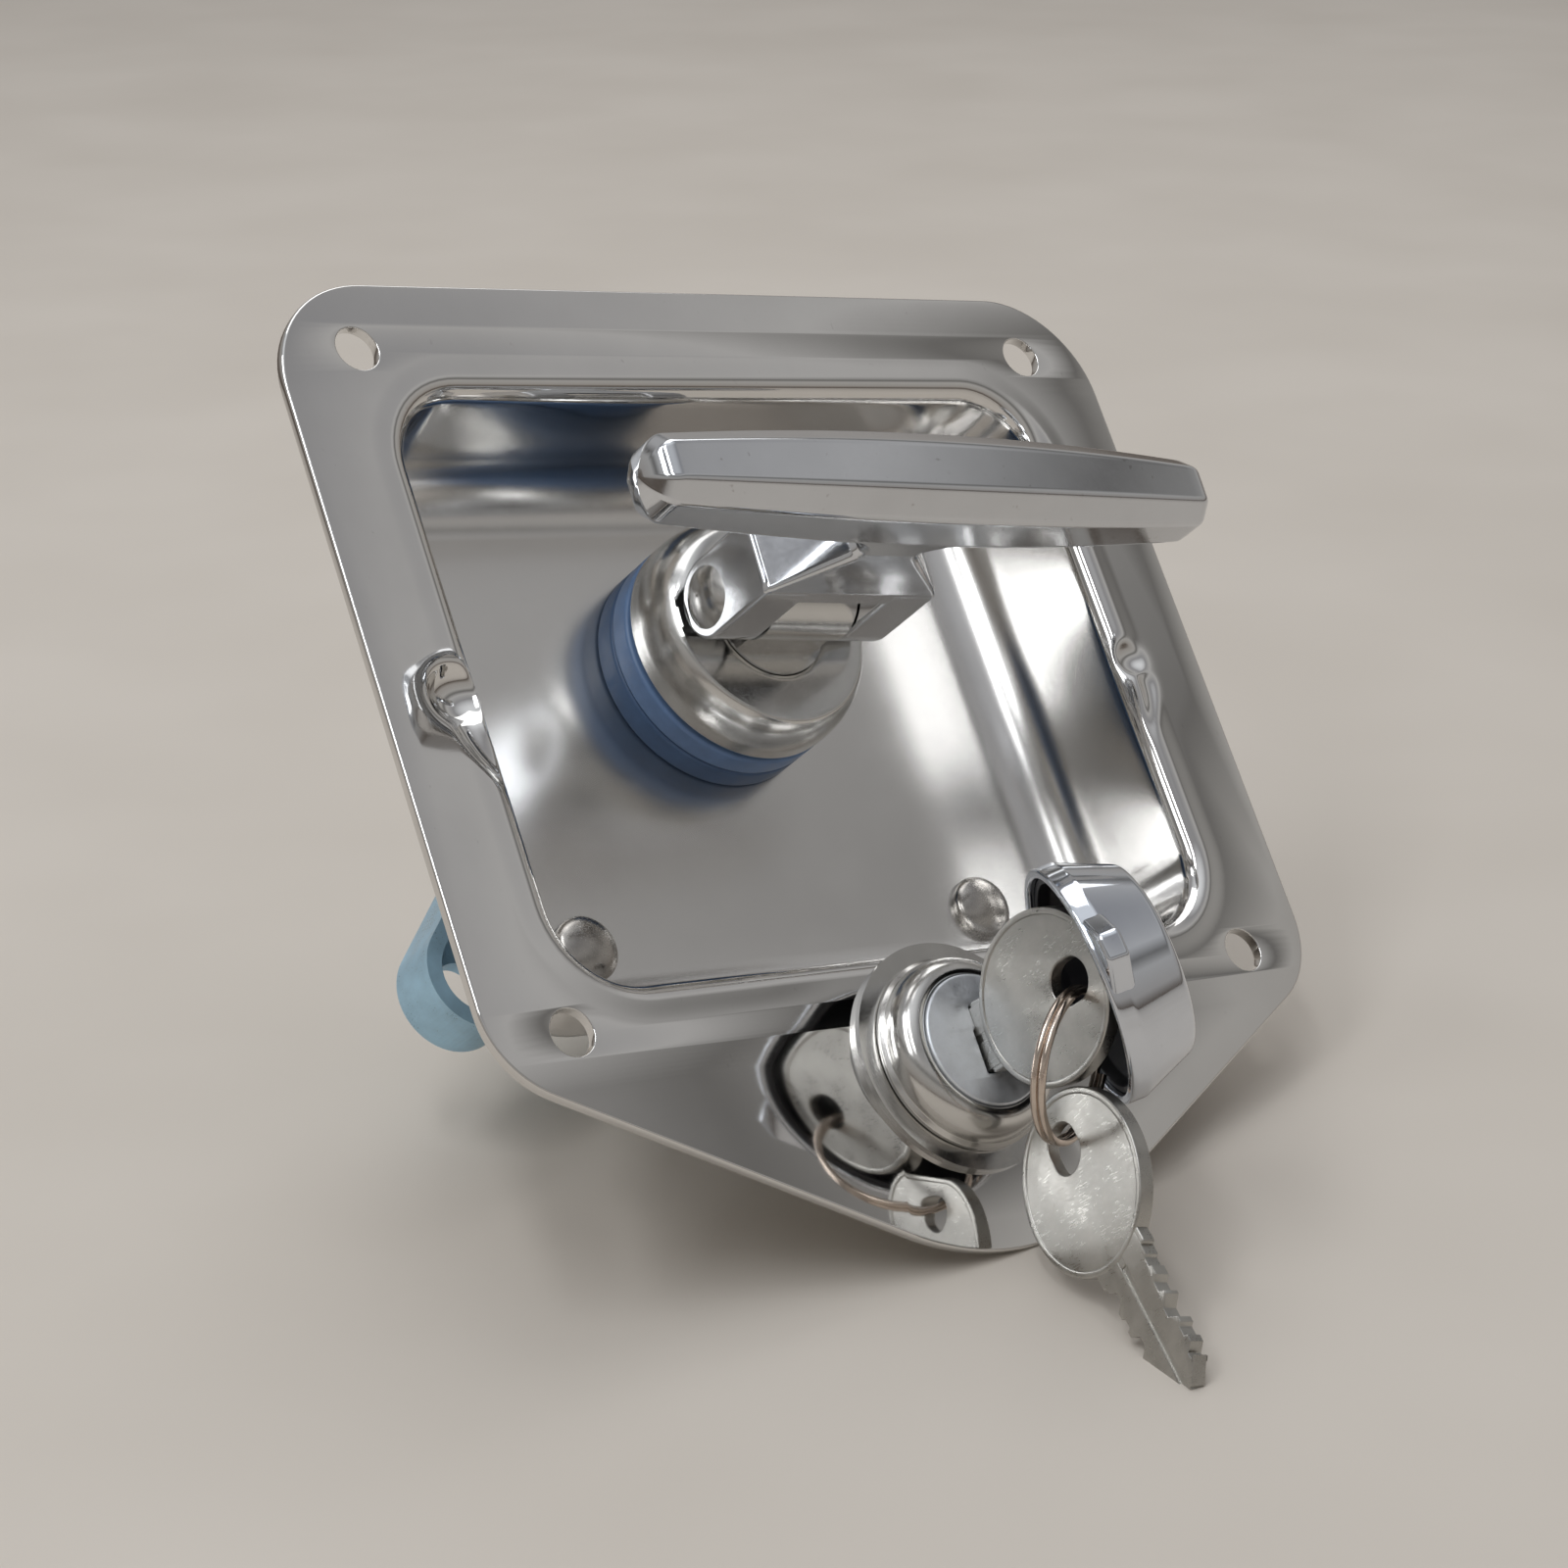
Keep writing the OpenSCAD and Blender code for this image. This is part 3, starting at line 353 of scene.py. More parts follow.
def rubber_finish(name, colour, rough=0.5, grain_depth=0.004, cloud=0.12):
    """Moulded rubber or nylon: matte, faintly mottled, with a fine grain."""
    f = Finish(name)
    clouds = f.noise(3.0, 4.0, 0.6)
    tone = f.mix(f.span(clouds, 0.3, 0.7, 0, 1), tint(colour, 1 - cloud), tint(colour, 1 + cloud))
    f.link(tone, f.shader.inputs["Base Color"])
    f.link(f.span(clouds, 0.3, 0.7, rough - 0.08, rough + 0.08), f.shader.inputs["Roughness"])
    f.bump(f.noise(0.18, 3.0, 0.6), grain_depth)
    return f.material


STEEL = tray_finish()
CHROME = metal("pitted_chrome", (0.66, 0.675, 0.70), 0.09,
               cloud=0.03, grain_size=0.5, grain_depth=0.0006, wave_depth=0.02, specks=0.35)
CAP_CHROME = metal("cap_chrome", (0.68, 0.71, 0.76), 0.07,
                   cloud=0.03, grain_size=0.8, grain_depth=0.0005, wave_depth=0.012, specks=0.2)
TURNED = metal("turned_steel", (0.64, 0.635, 0.62), 0.20, cloud=0.04, grain_size=0.2, grain_depth=0.0012)
BEZEL = metal("polished_bezel", (0.64, 0.63, 0.61), 0.18, cloud=0.04, grain_size=0.25, grain_depth=0.001)
NICKEL = metal("worn_nickel", (0.42, 0.40, 0.375), 0.24,
               cloud=0.14, cloud_size=3.0, grain_size=0.3, grain_depth=0.0006, specks=0.5)
KEY_METAL = metal("key_nickel", (0.45, 0.44, 0.415), 0.34,
                  cloud=0.12, cloud_size=3.5, grain_size=0.18, stretch=(1, 6, 1),
                  grain_depth=0.0007, specks=0.3)
WIRE = metal("warm_wire", (0.62, 0.53, 0.46), 0.20, cloud=0.10, cloud_size=2.0, grain_depth=0.0008)
PLUG = metal("cast_zinc", (0.76, 0.79, 0.83), 0.46,
             cloud=0.08, cloud_size=2.2, grain_size=0.25, grain_depth=0.006, specks=0.4, metallic=0.85)
ARM = metal("blue_zinc", (0.40, 0.62, 0.78), 0.36,
            cloud=0.16, cloud_size=5.0, grain_size=0.3, grain_depth=0.004, metallic=0.5)
ZINC = metal("white_zinc", (0.70, 0.71, 0.70), 0.34,
             cloud=0.10, cloud_size=4.0, grain_size=0.3, grain_depth=0.003, specks=0.3)
YELLOW_ZINC = metal("yellow_zinc", (0.74, 0.68, 0.46), 0.32, cloud=0.14, cloud_size=3.0, grain_depth=0.003)
SPRING = metal("dark_spring_steel", (0.34, 0.34, 0.36), 0.30, cloud=0.12, cloud_size=3.0, grain_depth=0.002)
BRASS = metal("stamped_brass", (0.80, 0.64, 0.34), 0.25, cloud=0.08, cloud_size=3.0, grain_depth=0.002)
BRONZE = metal("plain_bronze", (0.66, 0.50, 0.30), 0.36, cloud=0.12, cloud_size=3.0, grain_depth=0.003)
SEAL_BLUE = rubber_finish("seal_blue", (0.055, 0.105, 0.205), 0.42)
BEARING_BLUE = rubber_finish("bearing_blue", (0.13, 0.215, 0.385), 0.36)
NYLON = rubber_finish("black_nylon", (0.03, 0.03, 0.033), 0.45)
# The cap's liner is a part of its own, but its near-black tone is also painted shade for the hollow inside
# the cup.
LINER_WITH_PAINTED_SHADE = rubber_finish("liner_with_painted_shade", (0.012, 0.012, 0.016), 0.4)


# The pressed tray.

def flange_outline():
    """Square top with round corners, sloped lower edges and a blunt round point."""
    half = FLANGE_W / 2
    upper = FLANGE_TOP - TOP_R
    lower = -SHOULDER + LOWER_R * (1 - math.sin(SLOPE)) / math.cos(SLOPE)
    point = -SHOULDER + (POINT_R - half * math.sin(SLOPE)) / math.cos(SLOPE)
    quarter = math.pi / 2
    return np.concatenate([
        arc((half - TOP_R, upper), TOP_R, 0, quarter, 20),
        arc((TOP_R - half, upper), TOP_R, quarter, 2 * quarter, 20),
        arc((LOWER_R - half, lower), LOWER_R, 2 * quarter, 3 * quarter - SLOPE, 14),
        arc((0, point), POINT_R, 3 * quarter - SLOPE, 3 * quarter + SLOPE, 24),
        arc((half - LOWER_R, lower), LOWER_R, 3 * quarter + SLOPE, 4 * quarter, 14),
    ])


def pan_loop(sunk, radius, across=56, along=150, corner=14):
    """A rounded rectangle, sunk inwards from the pan's mouth. Every such loop has the same
    number of points in the same order, so loops at different depths make a grid."""
    a, b = PAN_HALF_W - sunk, PAN_HALF_H - sunk
    t = np.linspace(0, 1, along, endpoint=False)[:, None]
    s = np.linspace(0, 1, across, endpoint=False)[:, None]
    q = math.pi / 2
    corners = [(a - radius, b - radius), (radius - a, b - radius),
               (radius - a, radius - b), (a - radius, radius - b)]
    parts = []
    for k in range(4):
        bend = arc(corners[k], radius, k * q, (k + 1) * q, corner)
        nxt = arc(corners[(k + 1) % 4], radius, (k + 1) * q, (k + 2) * q, corner)
        run = s if k in (0, 2) else t
        parts += [bend[:-1], bend[-1] + (nxt[0] - bend[-1]) * run]
    return np.concatenate(parts) + np.array([0, PAN_MID])


def loop_normals(loop):
    e = np.roll(loop, -1, 0) - np.roll(loop, 1, 0)
    return np.stack([e[:, 1], -e[:, 0]], -1) / np.linalg.norm(e, axis=1)[:, None]


def pan_section(bend_r, fillet_r, steps=12):
    """From the flange over the mouth's bend, down the drafted wall and round to the floor:
    (distance inwards from the mouth, height) along two arcs and their common tangent."""
    mouth = np.array([-MOUTH_R, FRONT - MOUTH_R])
    wall = np.array([math.cos(DRAFT), math.sin(DRAFT)])
    top = mouth + MOUTH_R * wall
    fy = FLOOR + FLOOR_R
    fx = top[0] + (FLOOR_R - (fy - top[1]) * wall[1]) / wall[0]
    bend = arc(mouth, bend_r, math.pi / 2, DRAFT, steps)
    fillet = arc((fx, fy), fillet_r, math.pi + DRAFT, 1.5 * math.pi, steps + 4)
    run = bend[-1] + (fillet[0] - bend[-1]) * np.linspace(0, 1, 12)[1:-1, None]
    return np.concatenate([bend, run, fillet])


def tail_path(side, steps=14):
    """The groove that leaves a dimple: an S-curve down the side into the mouth's edge, with
    the radius and height of its tool at each place."""
    t = np.linspace(0, 1, steps)
    x = PAN_HALF_W + 3.3 - 3.6 * smooth(t)
    z = DIMPLE_Z - 3.0 - 11.5 * t
    return np.stack([side * x, z, FRONT + 1.3 - 0.5 * t], -1), 2.3 - 1.15 * t


def push_out(p, centre, ball, fade):
    """A point at distance d from the centre goes out to (d^k + r^k)^(1/k), fading beyond r."""
    v = p - centre
    d = np.maximum(np.linalg.norm(v, axis=-1, keepdims=True), 1e-6)
    out = (d ** 8 + ball ** 8) ** 0.125
    return p + smooth((ball + fade - d) / fade) * v * (out / d - 1)


def press_dimples(p, extra):
    """Presses a ball and its tail groove into the left side, and a small one into the right;
    extra is the sheet's thickness on the back face."""
    for side, ball in ((-1, 4.35), (1, 3.0)):
        centre = np.array([side * (PAN_HALF_W + 3.4 - 1.6 * (side > 0)), DIMPLE_Z, FRONT + 1.75])
        p = push_out(p, centre, ball + extra, 2.6)
        path, tool = tail_path(side)
        for middle, radius in zip(path, tool):
            p = push_out(p, middle, radius * (1.0 if side < 0 else 0.75) + extra, 1.4)
    return p


def swell_mouth(p):
    """Raises a faint shoulder round the mouth, which fades out near the lock."""
    qx = np.abs(p[..., 0]) - PAN_HALF_W + PAN_CORNER
    qy = np.abs(p[..., 1] - PAN_MID) - PAN_HALF_H + PAN_CORNER
    beyond = np.hypot(np.maximum(qx, 0), np.maximum(qy, 0)) + np.minimum(np.maximum(qx, qy), 0) - PAN_CORNER
    rise = smooth((5.0 - beyond) / 3.2) * smooth((beyond + 0.3) / 2.2)
    clear = smooth((np.hypot(p[..., 0], p[..., 1] - LOCK_Z) - 17.0) / 9.0)
    p = p.copy()
    p[..., 2] += 0.10 * rise * clear
    return p


def pan_side(bend_r, fillet_r, flat, floor, extra):
    """One face of the pan, from its foot on the flange to the hole of the boss."""
    mouth = pan_loop(0, PAN_CORNER)
    out = loop_normals(mouth)
    x, z = mouth[:, 0], mouth[:, 1]
    at_side = np.abs(out[:, 0]) > 0.99
    at_foot = out[:, 1] < -0.99
    beside_dimple = at_side * np.exp(-((z - DIMPLE_Z) / 7.5) ** 4)
    above_lock = at_foot * np.exp(-(x / 15.0) ** 4)
    reach = 5.2 + 4.7 * beside_dimple - 2.3 * above_lock
    rows = []
    for t in np.linspace(0, 1, 22)[:-1]:
        s = reach + (MOUTH_R - reach) * t
        rows.append(at_height(mouth + out * s[:, None], flat))
    for sunk, height in pan_section(bend_r, fillet_r):
        if sunk < 0:
            rows.append(at_height(mouth - out * sunk, height))
        else:
            rows.append(at_height(pan_loop(sunk, PAN_CORNER - 0.75 * sunk), height))
    last = rows[-1][:, :2]
    a = np.arctan2(last[:, 1] - BOSS_Z, last[:, 0])
    hole = np.stack([10.5 * np.cos(a), BOSS_Z + 10.5 * np.sin(a)], -1)
    for t in np.linspace(0, 1, 9)[1:]:
        rows.append(at_height(last + (hole - last) * t, floor))
    side = swell_mouth(press_dimples(np.stack(rows), extra))
    side[0, :, 2] = flat
    return side


def make_tray():
    """Flat flange with its holes, and the pan's front and back faces joined at the boss."""
    skin = Skin()
    face = pan_side(MOUTH_R, FLOOR_R, FRONT, FLOOR, 0.0)
    back = pan_side(MOUTH_R - SHEET, FLOOR_R + SHEET, 0.0, FLOOR - SHEET, SHEET)
    skin.grid(face)
    skin.grid(back)
    skin.grid(np.stack([face[-1], back[-1]]))
    edge, edge_steps = 0.35, 4
    outer = flange_outline()
    screw_holes = [circle((sx * HOLE_X, sz * HOLE_Z), HOLE_R, 48) for sx in (-1, 1) for sz in (-1, 1)]
    holes = screw_holes + [circle((0, LOCK_Z), BARREL_R, 96)]
    a = np.linspace(0, math.pi / 2, edge_steps + 1)
    rows = [(edge * (1 - math.sin(t)), edge * (1 - math.cos(t))) for t in a]
    rows += [(s, SHEET - r) for s, r in rows[::-1]]
    fronts, backs = [], []
    for k, loop in enumerate([outer] + holes):
        sign, size = (1, 1.0) if k == 0 else (-1, 0.5)
        heights = [size * h if h < SHEET / 2 else SHEET - size * (SHEET - h) for _, h in rows]
        skin.grid(np.stack([at_height(inset(loop, sign * size * s), h) for (s, _), h in zip(rows, heights)]))
        fronts.append(at_height(inset(loop, sign * size * edge), FRONT))
        backs.append(at_height(inset(loop, sign * size * edge), 0.0))
    skin.cap([fronts[0], face[0]] + fronts[1:])
    skin.cap([backs[0], back[0]] + backs[1:])
    skin.build("pressed_tray", "tray", STEEL, ["tray"], sharp=40)


make_tray()


# The T handle: a boat-shaped bar, a waisted stem and two cheeks round the knuckle.

PIN_H = FLOOR + 3.6 + 3.4 + 9.2 + 4.05
BAR_HALF, BAR_T, BAR_END_T = 40.75, 11.8, 8.6
BAR_REACH, BAR_DROP = 28.75, 1.0
FORK_HALF, SLOT_HALF, KNUCKLE_R, CHEEK_L = 12.8, 6.2, 5.0, 11.0


def on_pin(points):
    """Places a shape drawn as (across, drop of the bar, away from the pin)."""
    return on_boss(np.asarray(points, float) + np.array([0, 0, PIN_H]))


def bar_section(radius):
    """A soft octagon in (drop, reach), with its flats towards the panel and outwards."""
    wide, narrow = 0.985 * radius, 0.50 * radius
    corners = [(wide, -narrow), (wide, narrow), (narrow, wide), (-narrow, wide),
               (-wide, narrow), (-wide, -narrow), (-narrow, -wide), (narrow, -wide)]
    return rounded(corners, 0.26 * radius, 6, closed=True)


def make_bar():
    """Sections r(t) = end + (mid - end)(1 - t^2) along the bar; past t = 0.93 they shrink by
    sqrt(1 - 0.96 s^2) where s runs to 1 at the end."""
    body = np.linspace(-0.93, 0.93, 61)
    end = np.sin(np.linspace(0, math.pi / 2, 13)[1:])
    places = np.concatenate([-(0.93 + 0.07 * end[::-1]), body, 0.93 + 0.07 * end])
    shrink = np.concatenate([np.sqrt(1 - 0.96 * end[::-1] ** 2), np.ones(len(body)),
                             np.sqrt(1 - 0.96 * end ** 2)])
    rows = []
    for t, s in zip(places, shrink):
        radius = (BAR_END_T / 2 + (BAR_T - BAR_END_T) / 2 * (1 - t * t)) * s
        ring = bar_section(radius)
        across = np.full(len(ring), t * BAR_HALF)
        rows.append(np.stack([across, ring[:, 0] - BAR_DROP, ring[:, 1] + BAR_REACH], -1))
    rows = on_pin(np.stack(rows))
    skin = Skin()
    skin.grid(rows)
    for ring in (rows[0], rows[-1]):
        mid = ring.mean(0)
        skin.grid(np.stack([ring, np.broadcast_to(mid, ring.shape)]))
    skin.build("t_bar", "handle", CHROME, ["t_handle"], sharp=50, weigh=True)


STEM_WIDTH = [(8.4, 12.75), (10.2, 12.75), (10.9, 12.35), (11.6, 11.65), (17.2, 5.75), (18.0, 4.95),
              (18.9, 4.6), (20.0, 4.95), (21.2, 6.0), (23.2, 8.9), (25.4, 12.0), (26.4, 12.6)]
STEM_SIDES = [(8.4, -4.95, 4.95), (10.6, -4.95, 4.95), (11.6, -4.85, 4.8), (15.0, -4.55, 4.0),
              (18.8, -4.2, 3.2), (21.5, -4.65, 3.2), (25.0, -5.2, 3.3), (26.4, -5.3, 3.3)]


def make_stem():
    """Rounded rectangles stacked from the cheeks to the bar; width and sides are read from
    the tables above by straight lines between their rows."""
    width, sides = np.array(STEM_WIDTH), np.array(STEM_SIDES)
    heights = np.unique(np.concatenate([np.linspace(8.4, 26.4, 55), width[:, 0], sides[:, 0]]))
    rows = []
    for u in heights:
        w = np.interp(u, width[:, 0], width[:, 1])
        low, high = np.interp(u, sides[:, 0], sides[:, 1]), np.interp(u, sides[:, 0], sides[:, 2])
        soft = 0.7 + 0.7 * smooth((u - 11.0) / 7.0)
        ring = rounded([(w, low), (w, high), (-w, high), (-w, low)], soft, 5, closed=True)
        rows.append(at_height(ring, u))
    rows = np.stack(rows)
    foot = at_height(inset(rows[0][:, :2], 0.4), 8.0)
    skin = Skin()
    skin.grid(on_pin(np.concatenate([foot[None], rows])))
    skin.cap([on_pin(foot)])
    skin.cap([on_pin(rows[-1])])
    skin.build("t_stem", "handle", CHROME, ["t_handle"], sharp=32, weigh=True)


def make_cheeks():
    """Each cheek is a plate seen from the side: round about the pin, straight to the stem."""
    half = KNUCKLE_R - 0.02
    arm = rounded([(half, 0), (half, 10.4), (KNUCKLE_R - 1.2, CHEEK_L), (1.2 - KNUCKLE_R, CHEEK_L),
                   (-half, 10.4), (-half, 0)], 0.6, 4)[1:-1]
    outline = np.concatenate([arc((0, 0), half, math.pi, 2 * math.pi, 30), arm])
    bore = circle((0, 0), 2.55, 40)
    for side, name in ((-1, "left_cheek"), (1, "right_cheek")):
        skin = Skin()
        low, high = sorted((side * SLOT_HALF, side * FORK_HALF))
        plate(skin, outline, [bore], low, high, 0.55, 4,
              lambda p: on_pin(np.stack([p[..., 2], p[..., 0], p[..., 1]], -1)))
        skin.build(name, "handle", CHROME, ["t_handle"], sharp=40, weigh=True)


make_bar()
make_stem()
make_cheeks()


# The boss: two blue rings and the polished collar.

def make_ring(name, low, high, material):
    """A ring with rounded outer edges."""
    r = 15.4
    profile = rounded([(7.58, low + 0.02), (r, low + 0.02), (r, high - 0.02), (7.58, high - 0.02)],
                      0.5, 6, closed=True)
    skin = Skin()
    skin.grid(on_boss(spun(profile, 144)), wrap_rows=True)
    skin.build(name, "tray", material, [name.replace("blue_", "")], sharp=40)


make_ring("blue_seal_ring", FLOOR, FLOOR + 3.6, SEAL_BLUE)
make_ring("blue_bearing_ring", FLOOR + 3.6, FLOOR + 7.0, BEARING_BLUE)


def soft_low(a, b, k):
    """The lower of two heights, with the crease between them rounded over about k."""
    return -k * np.logaddexp(-a / k, -b / k)


def make_collar():
    """A turned profile; its top is then sunk by the knuckle's round seat and by the flat cut
    that lets the fork fold, so the height at (x, y) is the lowest of the three."""
    crest = [(11 + 4.4 * math.cos(a), 2.4 + 6.8 * math.sin(a)) for a in np.linspace(0.06, math.pi / 2, 26)]
    dish = [(10.2, 9.16), (9.4, 8.9), (8.4, 8.3), (7.6, 7.7)]
    inner = [(7.58, 6.0), (7.58, 3.0), (7.58, 0.12)]
    rim = rounded([(7.58, 0.12), (14.45, 0.12), (14.45, 0.7), (15.15, 0.7), (15.38, 1.05),
                   (15.38, 2.2), (15.38, 2.6)], 0.18, 4)
    top = np.array(crest + dish)
    steps = [top[:1]]
    for a, b in zip(top[:-1], top[1:]):
        count = max(1, int(np.linalg.norm(b - a) / 0.45))
        steps.append(a + (b - a) * np.linspace(0, 1, count + 1)[1:, None])
    profile = np.concatenate([rim, np.concatenate(steps), inner])
    p = spun(profile, 320)
    x, y, h = p[..., 0], p[..., 1], p[..., 2]
    pin = 9.2 + 4.05
    seat = pin - np.sqrt(np.maximum(5.8 ** 2 - y ** 2, 0.04))
    fold = np.where(y < 0, pin - 5.4, pin)
    cut = np.where(np.abs(x) < 13.2, np.minimum(seat, fold), 30.0)
    p[..., 2] = np.where(h > 3.2, soft_low(h, cut, 0.06), h)
    p[..., 2] += FLOOR + 7.0
    skin = Skin()
    skin.grid(on_boss(p), wrap_rows=True)
    skin.build("polished_collar", "spindle", TURNED, ["collar"], sharp=30)


make_collar()


def make_rivets():
    """Two domed rivets, each with a thin rim under its dome, a shank and a set head behind."""
    skin = Skin()
    dome = [(4.18 * math.sin(a), FLOOR + 0.45 + 1.72 * math.cos(a))
            for a in np.linspace(0.0, math.pi / 2, 16)]
    tail = [(4.18, FLOOR + 0.02), (2.38, FLOOR + 0.02), (2.38, FLOOR - 3.12), (3.3, FLOOR - 3.14),
            (3.38, FLOOR - 3.3), (3.38, FLOOR - 4.1), (3.1, FLOOR - 4.28), (0.0, FLOOR - 4.28)]
    for side in (-1, 1):
        skin.grid(spun(dome + tail, 72) + np.array([side * 30.5, -25.7, 0]))
    skin.build("domed_rivets", "tray", NICKEL, ["pan_rivets"], sharp=38)


make_rivets()


# The lock: barrel with its domed bezel, the plug with a stepped keyway, and the weather cap.

PLUG_TOP = 7.3
PLUG_R = 8.1


def make_lock():
    """The barrel is turned: its bezel rises over a lip line as a quarter ellipse, and rolls
    over at the top into the plug's bore."""
    dome = [(8.62 + 2.66 * math.cos(a), 3.45 + 3.6 * math.sin(a)) for a in np.linspace(0.0, math.pi / 2, 22)]
    foot = rounded([(9.3, 2.0), (9.3, 2.42), (11.78, 2.42), (11.78, 3.0), (11.3, 3.42),
                    (11.28, 3.46)], 0.16, 4)
    profile = np.concatenate([[(8.16, -20.38), (8.7, -20.38), (9.3, -19.8)], foot, dome[1:],
                              [(8.4, 7.0), (8.22, 6.86), (8.16, 6.6)]])
    skin = Skin()
    skin.grid(on_lock(spun(profile, 160)), wrap_rows=True)
    skin.build("domed_bezel", "tray", BEZEL, ["lock_body"], sharp=36)


def make_plug():
    outline = [(-1.2, -4.1), (0.75, -4.1), (0.75, -1.3), (1.2, -0.9),
               (1.2, 4.1), (-0.75, 4.1), (-0.75, 1.5), (-1.2, 1.1)]
    skin = Skin()
    keyway = rounded(outline, 0.22, 3, closed=True)
    plate(skin, circle((0, 0), PLUG_R - 0.02, 128), [keyway], -20.38, PLUG_TOP, 0.35, 5, on_lock)
    skin.build("lock_plug_face", "plug", PLUG, ["lock_plug"], sharp=45)


HINGE_R, HINGE_H, HINGE_TURN, CAP_OPEN = 18.0, FRONT + 6.5, math.radians(6), math.radians(58)


def on_cap(points):
    """Places the cap's own frame, whose axis is h and whose hinge lies on +x, at its opening."""
    p = np.asarray(points, float) - np.array([HINGE_R, 0, 5.6])
    c, s = math.cos(CAP_OPEN), math.sin(CAP_OPEN)
    p = np.stack([p[..., 0] * c + p[..., 2] * s, p[..., 1], -p[..., 0] * s + p[..., 2] * c], -1)
    p = p + np.array([HINGE_R, 0, HINGE_H])
    return on_lock(turned(p, -HINGE_TURN))


def make_cap():
    """A cup turned in one profile, with a lift tab, and a lug for the hinge pin."""
    outer = rounded([(14.18, 0.9), (14.18, 2.4), (11.2, 9.58), (0.0, 9.58)], [0, 1.4, 1.5, 0], 9)
    rim = rounded([(13.02, 1.2), (13.02, 0.02), (14.18, 0.02), (14.18, 0.9)], 0.36, 5)
    inner = [(0.0, 8.42), (10.1, 8.42), (13.02, 2.4)]
    skin = Skin()
    skin.grid(on_cap(spun(np.concatenate([inner, rim, outer[1:]]), 160)))
    tab = rounded([(-13.4, -4.5), (-13.4, 4.5), (-17.38, 1.55), (-17.38, -1.55)],
                  [0, 0, 1.0, 1.0], 5, closed=True)
    plate(skin, tab, [], 0.4, 3.2, 0.6, 4, on_cap)
    lug = np.concatenate([arc((HINGE_R, 5.6), 2.18, -math.pi * 0.5, math.pi * 0.5, 18),
                          [(11.5, 7.2), (12.4, 2.1)]])
    plate(skin, lug, [circle((HINGE_R, 5.6), 1.05, 28)], -2.5, 2.5, 0.35, 3,
          lambda p: on_cap(np.stack([p[..., 0], p[..., 2], p[..., 1]], -1)))
    skin.build("weather_cap_cup", "cap", CAP_CHROME, ["weather_cap"], sharp=38)
    # Liner inside the cup: its near-black finish is the liner's own colour together with painted shade for
    # the cup's hollow.
    lined = [(0, 7.62), (9.4, 7.62), (12.2, 2.4), (12.2, 0.84),
             (12.96, 0.84), (12.96, 2.4), (10.06, 8.38), (0, 8.38)]
    skin = Skin()
    skin.grid(on_cap(spun(rounded(lined, [0, 0.8, 0.8, 0.1, 0.1, 0.3, 0.3, 0], 5), 128)))
    skin.build("liner_with_painted_shade", "cap", LINER_WITH_PAINTED_SHADE, ["cap_liner"], sharp=40)


make_lock()
make_plug()
make_cap()


# Keys and split ring.

BOW_BACK = PLUG_TOP + 1.2
BOW_L, BOW_W, HOLE_IN, HOLE_D, HOLE_SLOT = 22.0, 20.0, 5.6, 5.0, 1.2
BLADE_L, BLADE_W, KEY_T = 18.0, 7.6, 2.0
SPLIT_R, SPLIT_WIRE, SPLIT_TILT, SPLIT_TURN = 8.6, 0.9, math.radians(35.5), math.radians(23)
HANG, SPARE_HANG, SPARE_LEAN, SPARE_ROLL = 1.3, 0.75, math.radians(20), math.radians(10)
CUTS = [1.1, 0.5, 1.3, 0.8, 0.4]


def turn_about(axis, angle):
    return np.array(Matrix.Rotation(angle, 3, axis))


def from_row(p):
    """Frame coordinates in millimetres back to the drawing plane."""
    return np.stack([p[..., 0], p[..., 2], -p[..., 1]], -1)


def split_place():
    """Top of the ring in the key's bow, the way it hangs, its centre and its lowest point."""
    down = np.array([0, math.sin(SPLIT_TILT), -math.cos(SPLIT_TILT)])
    top = np.array([0, -(BOW_BACK + BOW_L - HOLE_IN), LOCK_Z])
    centre = top + (SPLIT_R + HANG) * down
    return down, centre, centre + SPLIT_R * down


def on_key(p):
    """The key in the lock: its blade points into the plug and its flat sides look sideways."""
    p = np.asarray(p, float)
    return np.stack([p[..., 2], p[..., 1] + LOCK_Z, BOW_BACK - p[..., 0]], -1)


def on_spare(p):
    p = np.asarray(p, float) + np.array([BOW_L - HOLE_IN + SPARE_HANG, 0, 0])
    turn = turn_about("Y", SPARE_ROLL) @ turn_about("X", -SPARE_LEAN) @ turn_about("Y", math.pi / 2)
    return from_row(p @ turn.T + split_place()[2])


def bow_loop(shrink, steps=120):
    """The bow is an ellipse with half axes 11 and 10, set back from the shoulder."""
    a = np.linspace(0, 2 * math.pi, steps, endpoint=False)
    return np.stack([-BOW_L / 2 + (BOW_L / 2 - shrink) * np.cos(a), (BOW_W / 2 - shrink) * np.sin(a)], -1)


def bow_hole():
    r = HOLE_D / 2
    x = HOLE_IN - BOW_L
    return np.concatenate([arc((x + HOLE_SLOT, 0), r, -math.pi / 2, math.pi / 2, 18),
                           arc((x, 0), r, math.pi / 2, 1.5 * math.pi, 18)])


def blade_rail(side):
    """Half of the blade beyond its milled groove, with the cuts in its outer edge."""
    edge = BLADE_W / 2 - 0.02
    points = [(-0.9, 0.42), (BLADE_L - 0.25, 0.42), (BLADE_L - 0.25, 1.1), (BLADE_L - 3.0, edge)]
    cuts = CUTS if side > 0 else CUTS[::-1]
    for i in range(len(CUTS) - 1, -1, -1):
        x, depth = 3.0 + 3.1 * i, cuts[i]
        reach = 0.6 + depth * depth / (depth + 0.5)
        if x + reach < BLADE_L - 3.0:
            points.append((x + reach, edge))
        points += [(x + 0.6, edge - depth), (x - 0.6, edge - depth), (x - reach, edge)]
    points += [(-0.9, edge)]
    loop = rounded(points, 0.12, 2, closed=True)
    return loop if side > 0 else (loop * np.array([1, -1]))[::-1]


